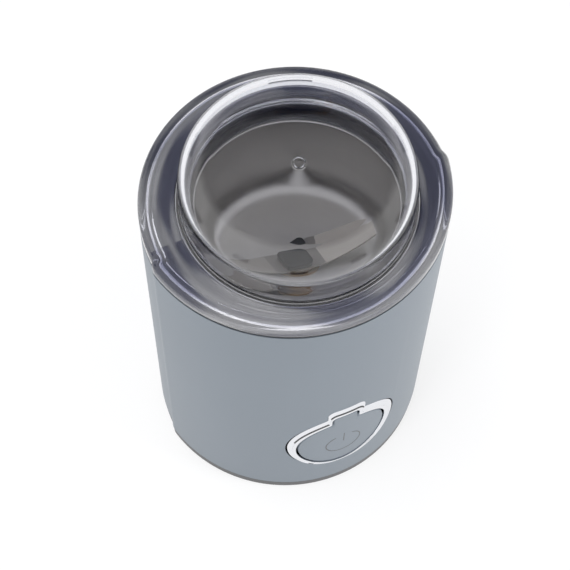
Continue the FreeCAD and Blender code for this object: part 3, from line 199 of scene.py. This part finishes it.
def ringPoints(angles, kind, size, z):
    # A ring about the motor axis: "round" with its radius, "oval" with its inset from the plan
    # outline, or "mix", a share of the way from a radius out to an inset
    if kind == "mix":
        share, near, far = size
        inner = ringPoints(angles, "round", near, z)
        outer = ringPoints(angles, "oval", far, z)
        return [tuple(a + (b - a) * share for a, b in zip(p, q)) for p, q in zip(inner, outer)]
    arcs = outlineArcs(size) if kind == "oval" else None
    points = []
    for angle in angles:
        reach = outlineReach(angle, arcs) if arcs else size
        points.append((reach * math.cos(angle), axisY + reach * math.sin(angle), z))
    return points


def rounded(kind, size, z, radius, start, end, steps=6):
    # Rings of part of a round about a centre ring; angles are in the wall's section, 0 outwards
    # and 90 up. On an oval a larger reach is a smaller inset.
    rings = []
    for k in range(steps + 1):
        turn = math.radians(start + (end - start) * k / steps)
        out = radius * math.cos(turn)
        rings.append((kind, size - out if kind == "oval" else size + out, z + radius * math.sin(turn)))
    return rings


class Wire:
    # A socket that takes part in sums
    def __init__(self, finish, socket):
        self.finish = finish
        self.socket = socket

    def maths(self, operation, first, second):
        return self.finish.node("ShaderNodeMath", {"operation": operation}, {0: first, 1: second})

    def __add__(self, other):
        return self.maths("ADD", self, other)

    def __sub__(self, other):
        return self.maths("SUBTRACT", self, other)

    def __rsub__(self, other):
        return self.maths("SUBTRACT", other, self)

    def __mul__(self, other):
        return self.maths("MULTIPLY", self, other)

    def __truediv__(self, other):
        return self.maths("DIVIDE", self, other)

    def __pow__(self, other):
        return self.maths("POWER", self, other)

    __radd__ = __add__
    __rmul__ = __mul__


class Finish:
    # A material that is built from sums of wires
    def __init__(self, name, color, **values):
        self.material = bpy.data.materials.new(name)
        self.material.use_nodes = True
        self.tree = self.material.node_tree
        self.shader = self.tree.nodes["Principled BSDF"]
        self.feed("Base Color", (*color, 1.0))
        for socket, value in values.items():
            self.feed(socket.replace("_", " "), value)

    def node(self, kind, settings=None, sockets=None, output=0):
        made = self.tree.nodes.new(kind)
        for name, value in (settings or {}).items():
            setattr(made, name, value)
        for name, value in (sockets or {}).items():
            self.plug(made.inputs[name], value)
        return Wire(self, made.outputs[output])

    def plug(self, socket, value):
        if isinstance(value, Wire):
            self.tree.links.new(value.socket, socket)
        else:
            socket.default_value = value

    def feed(self, socket, value):
        self.plug(self.shader.inputs[socket], value)

    def place(self, location=(0, 0, 0), scale=(1, 1, 1)):
        spot = self.node("ShaderNodeTexCoord", output="Object")
        return self.node("ShaderNodeMapping", {}, {"Vector": spot, "Location": location, "Scale": scale})

    def noise(self, scale, detail=2.0, vector=None, roughness=0.5):
        sockets = {"Scale": scale, "Detail": detail, "Roughness": roughness}
        sockets["Vector"] = vector if vector is not None else self.place()
        return self.node("ShaderNodeTexNoise", {}, sockets)

    def mix(self, factor, first, second):
        # Blend two colours; the colour sockets of the node are its inputs 6 and 7 and its output 2
        made = self.tree.nodes.new("ShaderNodeMix")
        made.data_type = "RGBA"
        self.plug(made.inputs["Factor"], factor)
        for socket, value in ((made.inputs[6], first), (made.inputs[7], second)):
            self.plug(socket, (*value, 1.0) if isinstance(value, tuple) else value)
        return Wire(self, made.outputs[2])

    def bump(self, height, strength, distance):
        sockets = {"Height": height, "Strength": strength, "Distance": distance}
        self.feed("Normal", self.node("ShaderNodeBump", {}, sockets))

    def polar(self):
        # Radius, height and turn about the motor axis, in metres and radians
        place = self.place(location=(0, -axisY * mm, 0))
        spot = self.node("ShaderNodeSeparateXYZ", {}, {"Vector": place})
        x, y, z = (Wire(self, spot.socket.node.outputs[k]) for k in range(3))
        turn = self.node("ShaderNodeMath", {"operation": "ARCTAN2"}, {0: y, 1: x})
        return (x * x + y * y) ** 0.5, z, turn

    def streaks(self, across, turns, detail=2.0):
        # Noise drawn out in circles about the motor axis
        radius, z, turn = self.polar()
        sockets = {"X": radius * across, "Y": z * across, "Z": turn * turns}
        return self.noise(1.0, detail, self.node("ShaderNodeCombineXYZ", {}, sockets))


paint = {"dark": (0.178, 0.208, 0.240), "light": (0.222, 0.254, 0.290), "flake": 5200.0}


def makePaint(name, dark, light):
    # Satin metallic paint: fine flakes in the colour and the gloss, and a faint orange peel
    made = Finish(name, dark, Metallic=0.55, Coat_Roughness=0.25, Coat_Weight=0.15)
    flakes = made.noise(paint["flake"], 0.0)
    cloud = made.noise(22.0, 3.0)
    made.feed("Base Color", made.mix(flakes * 0.75 + cloud * 0.25, dark, light))
    made.feed("Roughness", 0.40 + flakes * 0.10)
    peel = made.noise(900.0, 1.0)
    made.bump(flakes * 0.5 + peel, 0.12, 0.00006)
    return made.material


def makeMoulded(name, dark, light, rough=0.45, grain=2600.0, depth=0.00005, sheen=0.5):
    # Moulded plastic or rubber with a fine spark-eroded grain
    made = Finish(name, dark, IOR=1.47, Specular_IOR_Level=sheen)
    grains = made.noise(grain, 2.0)
    patches = made.noise(60.0, 3.0)
    made.feed("Base Color", made.mix(patches * 0.6 + grains * 0.4, dark, light))
    made.feed("Roughness", rough - 0.06 + grains * 0.14)
    made.bump(grains, 0.3, depth)
    return made.material


def makeTurned(name, dark, light, rough=0.28, lines=3200.0, depth=0.00001):
    # Metal brushed in circles about the motor axis
    made = Finish(name, dark, Metallic=1.0)
    scratches = made.streaks(lines, 0.9)
    bands = made.streaks(160.0, 1.6)
    made.feed("Base Color", made.mix(bands * 0.5 + scratches * 0.5, dark, light))
    made.feed("Roughness", rough - 0.08 + scratches * 0.2)
    made.bump(scratches, 0.25, depth)
    return made.material


def makeMetal(name, dark, light, rough=0.3, grain=1500.0, depth=0.00001):
    # Drawn, plated or ground metal whose grain runs upwards
    made = Finish(name, dark, Metallic=1.0)
    grains = made.noise(grain, 2.0, made.place(scale=(1, 1, 0.08)))
    patches = made.noise(90.0, 3.0)
    made.feed("Base Color", made.mix(patches * 0.5 + grains * 0.5, dark, light))
    made.feed("Roughness", rough - 0.07 + grains * 0.16)
    made.bump(grains, 0.2, depth)
    return made.material


styrene = {"rimFrom": 36.2, "rimFade": 600.0, "flow": 130.0, "sag": 38.0}


def makeClear(name, tint, clear=1.0, deep=None):
    # Clear styrene: polished, with drawn flow lines round the thick rim and a calm dome
    made = Finish(name, tint, Roughness=0.0, IOR=1.56, Transmission_Weight=clear)
    radius = made.polar()[0]
    rim = made.node("ShaderNodeMath", {"operation": "MULTIPLY", "use_clamp": True},
                    {0: radius - styrene["rimFrom"] * mm, 1: styrene["rimFade"]})
    if deep:
        # Broad and fine dark bands follow the outline: painted reflections, put into the colour
        bands = made.streaks(150.0, 1.1, 1.0) * 0.6 + made.streaks(420.0, 1.9, 0.0) * 0.4
        share = made.node("ShaderNodeMapRange", {"interpolation_type": "SMOOTHSTEP"},
                          {"Value": bands, "From Min": 0.40, "From Max": 0.60})
        made.feed("Base Color", made.mix(share, deep, tint))
    flow = made.streaks(styrene["flow"], 1.6, 0.0) * rim
    made.bump(flow + made.noise(styrene["sag"], 1.0) * 0.05, 0.5, 0.0012)
    return made.material


def makeChrome(name):
    # Bright plating with a trace of haze
    made = Finish(name, (0.80, 0.81, 0.84), Metallic=1.0)
    haze = made.noise(700.0, 2.0)
    made.feed("Roughness", 0.05 + haze * 0.05)
    made.bump(haze, 0.05, 0.00001)
    return made.material


finishes = {
    "body_paint": makePaint("bodyPaint", paint["dark"], paint["light"]),
    "button_paint": makePaint("buttonPaint", (0.186, 0.216, 0.248), (0.230, 0.262, 0.298)),
    "base_plastic": makeMoulded("basePlastic", (0.070, 0.070, 0.072), (0.095, 0.095, 0.098)),
    "deck_plastic": makeMoulded("deckPlastic", (0.028, 0.028, 0.031), (0.040, 0.040, 0.044),
                                0.34, 1800.0, 0.00001),
    "clear_plastic": makeClear("clearPlastic", (0.900, 0.905, 0.940)),
    "bezel_chrome": makeChrome("bezelChrome"),
    "bowl_steel": makeTurned("bowlSteel", (0.58, 0.565, 0.54), (0.73, 0.715, 0.69), 0.40),
    "blade_steel": makeMetal("bladeSteel", (0.36, 0.335, 0.30), (0.46, 0.43, 0.39), 0.34),
    "shaft_steel": makeMetal("shaftSteel", (0.45, 0.46, 0.48), (0.60, 0.61, 0.63), 0.22),
    "bracket_steel": makeMetal("bracketSteel", (0.42, 0.43, 0.44), (0.55, 0.56, 0.57), 0.38, 700.0),
    "screw_steel": makeMetal("screwSteel", (0.42, 0.43, 0.45), (0.56, 0.57, 0.59), 0.30, 2200.0),
    "spring_steel": makeMetal("springSteel", (0.38, 0.39, 0.41), (0.50, 0.51, 0.53), 0.28, 3000.0),
    "bearing_bronze": makeMetal("bearingBronze", (0.36, 0.22, 0.10), (0.48, 0.31, 0.15), 0.38, 3500.0),
    "lamination_iron": makeMetal("laminationIron", (0.10, 0.105, 0.115), (0.17, 0.175, 0.185),
                                 0.48, 2600.0),
    "copper_wire": makeMetal("copperWire", (0.46, 0.17, 0.06), (0.62, 0.27, 0.11), 0.34, 2400.0),
    "carbon": makeMoulded("pressedCarbon", (0.018, 0.018, 0.019), (0.030, 0.030, 0.031), 0.6),
    "black_plastic": makeMoulded("blackPlastic", (0.016, 0.016, 0.017), (0.026, 0.026, 0.027), 0.45),
    "seal_rubber": makeMoulded("sealRubber", (0.014, 0.014, 0.014), (0.028, 0.028, 0.028),
                               0.7, 3600.0, 0.00008, 0.3),
}

# The thick rim of the lid is a little hazier than its dome, and carries dark bands of painted reflection
# in its colour
hazyPlasticPaintedStreaks = makeClear("hazyPlasticPaintedStreaks", (0.960, 0.962, 1.0), 0.86, (0.26, 0.27, 0.38))


def dressSolids():
    slotOf = {part["node"]: part["material_slot"] for part in frame["record"]["subparts"]}
    for name, node in frame["nodes"].items():
        node.data.materials.clear()
        node.data.materials.append(finishes[slotOf[name]])


dressSolids()
print("finishes made:", len(finishes))


lid = {
    "skirt": 5.8, "wall": 2.6, "flange": 2.4, "shoulder": 2.6,
    "dome": 36.0, "domeWall": 2.1, "rise": 25.0, "round": 9.2, "foot": 1.6,
    "top": 2.2, "tubeEnd": 121.6, "tubeRound": 0.5, "edge": 0.25,
    "corner": 1.4, "neck": 1.2, "ridges": 1.5, "ridge": 0.35,
    # The gate mark is a shallow ring in the middle of the top: radius and depth
    "gate": [(0.3, 0.08), (0.9, 0.06), (1.4, 0.14), (1.6, 0.42), (1.9, 0.42), (2.2, 0.08), (2.6, 0.0)],
    "hazyFrom": 37.3,
}


def makeLid():
    # One closed shell of rings, from the top of the dome round the skirt to the ceiling
    p = lid
    base = seamZ
    flangeTop = base + p["skirt"]
    flangeUnder = flangeTop - p["flange"]
    domeTop = base + p["rise"]
    inner = p["dome"] - p["domeWall"]
    ceiling = domeTop - p["top"]
    innerRound = p["round"] - p["domeWall"]
    neck, corner, tubeRound = p["neck"], p["corner"], p["tubeRound"]
    rings = [("round", radius, domeTop - depth) for radius, depth in p["gate"]]
    rings += [("round", radius, domeTop) for radius in (8.0, 18.0, 25.0)]
    rings += rounded("round", p["dome"] - p["round"], domeTop - p["round"], p["round"], 90, 0, 18)
    rings += [("round", p["dome"], domeTop - p["round"] - k * 2.6) for k in (1, 2)]
    rings += rounded("round", p["dome"] + p["foot"], flangeTop + p["foot"], p["foot"], 180, 270, 8)
    rings += rounded("oval", p["shoulder"], flangeTop - p["shoulder"], p["shoulder"], 90, 0, 12)
    rings += rounded("oval", p["edge"], base + p["edge"], p["edge"], 0, -90, 3)
    rings += rounded("oval", p["wall"] - p["edge"], base + p["edge"], p["edge"], 270, 180, 3)
    near, far, steps = p["dome"] + neck, p["wall"] + corner, 16
    rings += rounded("oval", far, flangeUnder - corner, corner, 0, 90, 6)
    # Low ridges round the underside of the flange
    for k in range(1, steps):
        share = 1 - k / steps
        lift = p["ridge"] * (1 - math.cos(2 * math.pi * p["ridges"] * share)) / 2
        rings.append(("mix", (share, near, far), flangeUnder - lift))
    rings += rounded("round", near, flangeUnder - neck, neck, 90, 180, 5)
    rings += [("round", p["dome"], p["tubeEnd"] + 3.0)]
    rings += rounded("round", p["dome"] - tubeRound, p["tubeEnd"] + tubeRound, tubeRound, 0, -90, 4)
    rings += rounded("round", inner + tubeRound, p["tubeEnd"] + tubeRound, tubeRound, 270, 180, 4)
    rings += [("round", inner, p["tubeEnd"] + k * 4.5) for k in (1, 2, 3, 4)]
    rings += rounded("round", inner - innerRound, ceiling - innerRound, innerRound, 0, 90, 16)
    rings += [("round", radius, ceiling) for radius in (18.0, 8.0, 0.3)]
    angles = ringAngles()
    piece = skin("clearLid", [ringPoints(angles, *ring) for ring in rings])
    outward(piece)
    smooth(piece, 40)
    finishPiece(piece, "clearLid", "lid", finishes["clear_plastic"], ["lid"])
    piece.data.materials.append(hazyPlasticPaintedStreaks)
    for face in piece.data.polygons:
        middle = face.center
        reach = math.hypot(middle.x, middle.y - axisY * mm)
        face.material_index = 1 if reach > p["hazyFrom"] * mm else 0
    return piece


makeLid()
print("lid modelled")


bowl = {"wall": 33.5, "sheet": 0.8, "floor": 84.0, "round": 6.0, "rim": 121.2, "roll": 0.56,
        "lip": 35.9, "edge": 0.2, "hole": 5.02, "level": 7.6}


def makeBowl():
    # Drawn sheet: the inside from the hole up to the rolled rim, then the outside down again
    p = bowl
    inner, outer, bend = p["wall"] - p["round"], p["wall"] + p["sheet"], p["floor"] + p["round"]
    rings = [("round", radius, p["floor"]) for radius in (p["hole"], 8.0, 14.0, 20.0, 25.0)]
    rings += rounded("round", inner, bend, p["round"], -90, 0, 16)
    rings += [("round", p["wall"], bend + k * p["level"]) for k in (1, 2, 3, 4)]
    rings += rounded("round", p["wall"] + p["roll"], p["rim"] - p["roll"], p["roll"], 180, 90, 5)
    rings += [("round", p["lip"] - p["edge"], p["rim"]), ("round", p["lip"], p["rim"] - p["edge"])]
    rings += [("round", p["lip"], p["rim"] - p["sheet"]), ("round", outer, p["rim"] - p["sheet"])]
    rings += [("round", outer, bend + k * p["level"]) for k in (3, 2, 1)]
    rings += rounded("round", inner, bend, p["round"] + p["sheet"], 0, -90, 10)
    rings += [("round", p["hole"], p["floor"] - p["sheet"])]
    angles = [2 * math.pi * k / 180 for k in range(180)]
    piece = skin("bowlSheet", [ringPoints(angles, *ring) for ring in rings], closed=True)
    outward(piece)
    smooth(piece, 40)
    steel = finishes["bowl_steel"]
    return finishPiece(piece, "bowlSheet", "housing", steel, ["grinding_bowl"])


makeBowl()
print("bowl modelled")


gap = {"inset": 0.20, "low": 4.25, "high": 5.0, "depth": 0.5}


def makePaintedShadeRing():
    # A black ring set into the joint between the sleeve and the base: painted shade for the dark gap
    p = gap
    angles = ringAngles()
    section = [(p["inset"], p["low"]), (p["inset"], p["high"]),
               (p["inset"] + p["depth"], p["high"]), (p["inset"] + p["depth"], p["low"])]
    piece = skin("paintedShadeRing", [ringPoints(angles, "oval", inset, z) for inset, z in section], closed=True)
    outward(piece)
    smooth(piece, 30)
    return finishPiece(piece, "paintedShadeRing", "housing", finishes["black_plastic"])


makePaintedShadeRing()
print("gap modelled")


# The front arc of the sleeve, on which the button lies, and the two tabbed outlines
front = {"radius": outline["frontRadius"], "back": axisY + outline["frontBack"]}
frameEdge = {"radius": 20.3, "centre": 38.7, "half": 6.8, "top": 63.7, "corner": 2.8, "foot": 0.9}
plateEdge = {"radius": 16.8, "centre": 35.7, "half": 4.65, "top": 56.9, "corner": 1.8, "foot": 0.9}


def onFront(u, z, rise, push=0.0):
    # A spot on the front arc, a distance u round it from the middle, raised off it and pushed back
    turn = u / front["radius"]
    reach = front["radius"] + rise
    return (reach * math.sin(turn), front["back"] - reach * math.cos(turn) + push, z)


def between(first, second, share):
    # The pair (u, z) a share of the way from one spot of an outline to another
    return first[0] + (second[0] - first[0]) * share, first[1] + (second[1] - first[1]) * share


def tabbed(edge, inset):
    # A circle with a square tab on top, from its lowest spot anticlockwise, as pairs (u, z)
    radius, half = edge["radius"] - inset, edge["half"] - inset
    top, corner, foot = edge["top"] - inset, max(edge["corner"] - inset, 0.15), edge["foot"]
    footAt = (half + foot, edge["centre"] + math.sqrt((radius + foot) ** 2 - (half + foot) ** 2))
    turn = math.atan2(footAt[1] - edge["centre"], footAt[0])
    side = []
    # The right half: the circle, the hollow at the tab's foot, its flank, its corner and its top
    for k in range(48):
        angle = -math.pi / 2 + (turn + math.pi / 2) * k / 48
        side.append((radius * math.cos(angle), edge["centre"] + radius * math.sin(angle)))
    for k in range(7):
        angle = turn + math.pi - turn * k / 6
        side.append((footAt[0] + foot * math.cos(angle), footAt[1] + foot * math.sin(angle)))
    for k in range(1, 6):
        side.append((half, footAt[1] + (top - corner - footAt[1]) * k / 6))
    for k in range(9):
        angle = math.pi / 2 * k / 8
        side.append((half - corner + corner * math.cos(angle), top - corner + corner * math.sin(angle)))
    for k in range(1, 6):
        side.append(((half - corner) * (1 - k / 5), top))
    return side + [(-u, z) for u, z in reversed(side[1:-1])]


# The frame's section as a share of the way inwards and a rise, then how far back its wall reaches
chrome = {
    "gap": 0.35, "wallFrom": -0.40, "slim": 0.25, "full": 3.0,
    "section": [(0.0, -1.2), (0.0, 0.0), (0.03, 0.12), (0.08, 0.22), (0.16, 0.30), (0.28, 0.40),
                (0.38, 0.48), (0.43, 0.51), (0.46, 0.52), (0.49, 0.51), (0.51, 0.46), (0.54, 0.34),
                (0.58, 0.24), (0.68, 0.16), (0.80, 0.08), (0.90, 0.00), (0.96, -0.08), (0.99, -0.20),
                (1.0, -0.40)],
    "walls": [(1.0, 2.0), (0.9, 2.6), (0.1, 2.6)],
}


# Black strips under the chrome's crest are a painted reflection of something dark
# From and to are shares of the way inwards; left and top are spots of the outline, counted back
# from its end and on from its start
paintedReflectionLine = {"from": 0.34, "to": 0.47, "low": 0.10, "high": 0.56, "left": (33, 50), "top": (61, 84)}


def makePaintedReflectionLines():
    # Two thin black strips under the crest, on the left shoulder and along the top of the tab: a painted
    # reflection of something dark in the chrome
    p = paintedReflectionLine
    outer, inner = tabbed(frameEdge, 0.0), tabbed(plateEdge, -chrome["gap"])
    count = len(outer)
    corners = [(p["from"], p["low"]), (p["from"], p["high"]), (p["to"], p["high"]), (p["to"], p["low"])]
    spans = {"paintedReflectionLeft": (count - p["left"][1], count - p["left"][0]), "paintedReflectionTop": p["top"]}
    for name, (first, last) in spans.items():
        rings = []
        for k in range(first, last + 1):
            rings.append([onFront(*between(outer[k], inner[k], share), rise) for share, rise in corners])
        piece = skin(name, rings)
        outward(piece)
        finishPiece(piece, name, "housing", finishes["black_plastic"])


def makeChromeFrame():
    # Wide at the left, the top and the right, and running out to a thin edge below
    outer, inner = tabbed(frameEdge, 0.0), tabbed(plateEdge, -chrome["gap"])
    rings = []
    for share, rise in chrome["section"]:
        ring = []
        for far, near in zip(outer, inner):
            width = math.hypot(far[0] - near[0], far[1] - near[1])
            lift = rise if rise < 0 else rise * min(1.0, chrome["slim"] + width / chrome["full"])
            ring.append(onFront(*between(far, near, share), lift))
        rings.append(ring)
    # The inner wall runs straight back, as the button does when it is pressed
    for share, push in chrome["walls"]:
        rings.append([onFront(*between(far, near, share), chrome["wallFrom"], push)
                      for far, near in zip(outer, inner)])
    piece = skin("chromeFrame", rings, closed=True)
    outward(piece)
    smooth(piece, 35)
    plating = finishes["bezel_chrome"]
    return finishPiece(piece, "chromeFrame", "housing", plating, ["button_bezel"])


button = {
    "sunk": -0.30, "edge": [(0.0, -1.15), (0.06, -1.05), (0.45, -0.36), (0.575, -0.30)],
    "deep": 1.85, "back": -3.0, "backShare": 0.9, "seat": 6.2, "seatAt": -43.85,
    "stem": 2.4, "stemEnd": -28.6, "stemBevel": 0.4,
    "markZ": 33.4, "mark": 6.5, "line": 0.32, "under": 0.05, "proud": 0.03, "bar": (1.2, 4.5, 7.8),
}


def makeButton():
    # The plate has a bevelled edge and follows the front arc; its stem reaches back to the carrier
    p = button
    rim = tabbed(plateEdge, p["edge"][0][0])
    face = tabbed(plateEdge, p["edge"][-1][0])
    middle = (0.0, plateEdge["centre"])
    # From the stem's end along it to the round seat of the spring, and out over the back
    levels = [(p["stemEnd"], p["stem"] - p["stemBevel"]), (p["stemEnd"] - p["stemBevel"], p["stem"]),
              (p["seatAt"], p["stem"]), (p["seatAt"], p["seat"])]
    turns = [math.atan2(z - middle[1], u) for u, z in rim]
    rings = []
    for y, radius in levels:
        rings.append([(radius * math.cos(turn), y, middle[1] + radius * math.sin(turn)) for turn in turns])
    rings.append([onFront(*between(middle, spot, p["backShare"]), p["back"]) for spot in rim])
    # Round the edge and in over the face
    rings.append([onFront(u, z, p["edge"][0][1], p["deep"]) for u, z in rim])
    rings += [[onFront(u, z, rise) for u, z in tabbed(plateEdge, inset)] for inset, rise in p["edge"]]
    for share in (0.88, 0.72, 0.54, 0.36, 0.20, 0.08, 0.01):
        rings.append([onFront(*between(middle, spot, share), p["sunk"]) for spot in face])
    piece = skin("pushButton", rings)
    outward(piece)
    smooth(piece, 25)
    finishPiece(piece, "pushButton", "button", finishes["button_paint"], ["push_button"])


def printLine(name, spots):
    # A thin line on the plate through spots given as (u, z, across u, across z)
    p = button
    half, low, high = p["line"] / 2, p["sunk"] - p["under"], p["sunk"] + p["proud"]
    section = [(-half, low), (-half, high), (half, high), (half, low)]
    rings = []
    for u, z, du, dz in spots:
        rings.append([onFront(u + du * out, z + dz * out, rise) for out, rise in section])
    piece = skin(name, rings)
    outward(piece)
    return finishPiece(piece, name, "button", finishes["base_plastic"])


def makeMark():
    # A power mark printed on the plate: a ring that is open at the top, and a bar
    radius, z = button["mark"], button["markZ"]
    ring = []
    for k in range(61):
        angle = math.radians(118 + 304 * k / 60)
        across, up = math.cos(angle), math.sin(angle)
        ring.append((radius * across, z + radius * up, across, up))
    printLine("markRing", ring)
    printLine("markBar", [(0.0, z + level, 1.0, 0.0) for level in button["bar"]])


makeChromeFrame()
makePaintedReflectionLines()
makeButton()
makeMark()
print("button modelled")


# In metres. Share is how white the floor looks to the camera, and plain the world's light on the part
stage = {"floorSize": 6.0, "floorShade": (0.86, 0.86, 0.87), "share": 0.75, "plain": 0.55,
         "flags": 8, "flagReach": 1.5, "flagWidth": 0.34, "flagLow": 0.10, "flagHigh": 0.42,
         "flagShade": (0.030, 0.034, 0.060), "coverAt": (0.29, 0.60, 1.08), "coverSize": 1.7}


def seenRays(tree):
    # 1 for rays from the camera, and for those that metal and glass send out, else 0
    path = tree.nodes.new("ShaderNodeLightPath")
    total = path.outputs["Is Camera Ray"]
    for name in ("Is Glossy Ray", "Is Transmission Ray"):
        larger = tree.nodes.new("ShaderNodeMath")
        larger.operation = "MAXIMUM"
        tree.links.new(total, larger.inputs[0])
        tree.links.new(path.outputs[name], larger.inputs[1])
        total = larger.outputs[0]
    return total


def hideCard(piece, finish):
    piece.data.materials.append(finish.material)
    piece.visible_camera = False
    piece.visible_diffuse = False
    piece.visible_shadow = False


def makeFloor():
    deselectAll()
    bpy.ops.mesh.primitive_plane_add(size=stage["floorSize"], location=(0, 0, 0))
    floor = bpy.context.object
    floor.name = "floor"
    made = Finish("floorPaper", stage["floorShade"], Roughness=0.9)
    glow = made.node("ShaderNodeEmission", {}, {"Color": (1, 1, 1, 1), "Strength": 1.0})
    share = Wire(made, seenRays(made.tree)) * stage["share"]
    paper = Wire(made, made.shader.outputs[0])
    blend = made.node("ShaderNodeMixShader", {}, {0: share, 1: paper, 2: glow})
    made.tree.links.new(blend.socket, made.tree.nodes["Material Output"].inputs["Surface"])
    floor.data.materials.append(made.material)


def makeCards():
    # Dark cards low round the stage, seen only in the plating and through the clear plastic
    card = Finish("darkCard", stage["flagShade"], Roughness=1.0, Specular_IOR_Level=0.0)
    for k in range(stage["flags"]):
        turn = 2 * math.pi * (k + 0.5) / stage["flags"]
        low, high, reach = stage["flagLow"], stage["flagHigh"], stage["flagReach"]
        deselectAll()
        bpy.ops.mesh.primitive_plane_add(size=1.0)
        flag = bpy.context.object
        flag.name = f"darkCard{k + 1}"
        flag.scale = (stage["flagWidth"], high - low, 1.0)
        flag.rotation_euler = (math.pi / 2, 0, turn)
        flag.location = (-reach * math.sin(turn), reach * math.cos(turn), (low + high) / 2)
        bpy.ops.object.transform_apply(location=True, rotation=True, scale=True)
        hideCard(flag, card)


def makeCover():
    # One more card above and behind, soft at its edge, whose reflection keeps the flat of the dome clear
    deselectAll()
    bpy.ops.mesh.primitive_plane_add(size=stage["coverSize"])
    cover = bpy.context.object
    cover.name = "coverCard"
    cover.rotation_euler = Vector(stage["coverAt"]).to_track_quat("Z", "Y").to_euler()
    cover.location = stage["coverAt"]
    bpy.ops.object.transform_apply(location=True, rotation=True, scale=True)
    soft = Finish("softCard", stage["flagShade"], Roughness=1.0, Specular_IOR_Level=0.0)
    spread = stage["coverSize"] / 2
    fall = soft.node("ShaderNodeVectorMath", {"operation": "LENGTH"},
                     {0: soft.place(location=tuple(-v for v in stage["coverAt"]))}, "Value")
    soft.feed("Alpha", soft.node("ShaderNodeMath", {"operation": "SUBTRACT", "use_clamp": True},
                                 {0: 1.0, 1: (fall / spread) ** 1.6}))
    hideCard(cover, soft)


def makeWorld():
    world = bpy.data.worlds.new("studio")
    bpy.context.scene.world = world
    world.use_nodes = True
    tree = world.node_tree
    tree.nodes.clear()
    lit = tree.nodes.new("ShaderNodeBackground")
    lit.inputs["Color"].default_value = (0.95, 0.97, 1.0, 1.0)
    lit.inputs["Strength"].default_value = stage["plain"]
    seen = tree.nodes.new("ShaderNodeBackground")
    seen.inputs["Strength"].default_value = 1.0
    seen.inputs["Color"].default_value = (1, 1, 1, 1)
    choose = tree.nodes.new("ShaderNodeMixShader")
    output = tree.nodes.new("ShaderNodeOutputWorld")
    tree.links.new(seenRays(tree), choose.inputs[0])
    tree.links.new(lit.outputs[0], choose.inputs[1])
    tree.links.new(seen.outputs[0], choose.inputs[2])
    tree.links.new(choose.outputs[0], output.inputs["Surface"])


lamps = {
    "topSoftbox": {"at": (-0.25, 0.15, 1.1), "aim": (0, 0, 0.1), "size": (0.9, 0.6), "power": 8.0},
    "leftSoftbox": {"at": (-0.9, -0.5, 0.5), "aim": (0, 0, 0.08), "size": (0.35, 0.8), "power": 5.0},
    "rightSoftbox": {"at": (0.8, -0.7, 0.45), "aim": (0, 0, 0.08), "size": (0.4, 0.9), "power": 9.0},
}


def makeLamps():
    for name, lamp in lamps.items():
        light = bpy.data.lights.new(name, "AREA")
        light.shape = "RECTANGLE"
        light.size, light.size_y = lamp["size"]
        light.energy = lamp["power"]
        holder = bpy.data.objects.new(name, light)
        bpy.context.scene.collection.objects.link(holder)
        holder.location = lamp["at"]
        away = Vector(lamp["at"]) - Vector(lamp["aim"])
        holder.rotation_euler = away.to_track_quat("Z", "Y").to_euler()
        holder.visible_glossy = False
        holder.visible_transmission = False


camera = {"at": (-105.9, -220.2, 540.1), "aim": (-14.3, -25.7, 125.7), "lens": 98.96, "sensor": 36.0,
          "roll": 1.58}


def makeCamera():
    data = bpy.data.cameras.new("photoCamera")
    data.lens = camera["lens"]
    data.sensor_width = camera["sensor"]
    data.clip_start = 0.01
    data.clip_end = 20.0
    holder = bpy.data.objects.new("photoCamera", data)
    bpy.context.scene.collection.objects.link(holder)
    at, aim = Vector(camera["at"]) * mm, Vector(camera["aim"]) * mm
    turn = (aim - at).to_track_quat("-Z", "Y").to_matrix().to_4x4()
    roll = Matrix.Rotation(math.radians(camera["roll"]), 4, "Z")
    holder.matrix_world = Matrix.Translation(at) @ turn @ roll
    bpy.context.scene.camera = holder


makeFloor()
makeCards()
makeCover()
makeWorld()
makeLamps()
makeCamera()
bpy.context.scene.view_settings.view_transform = "Standard"
print("stage lit")
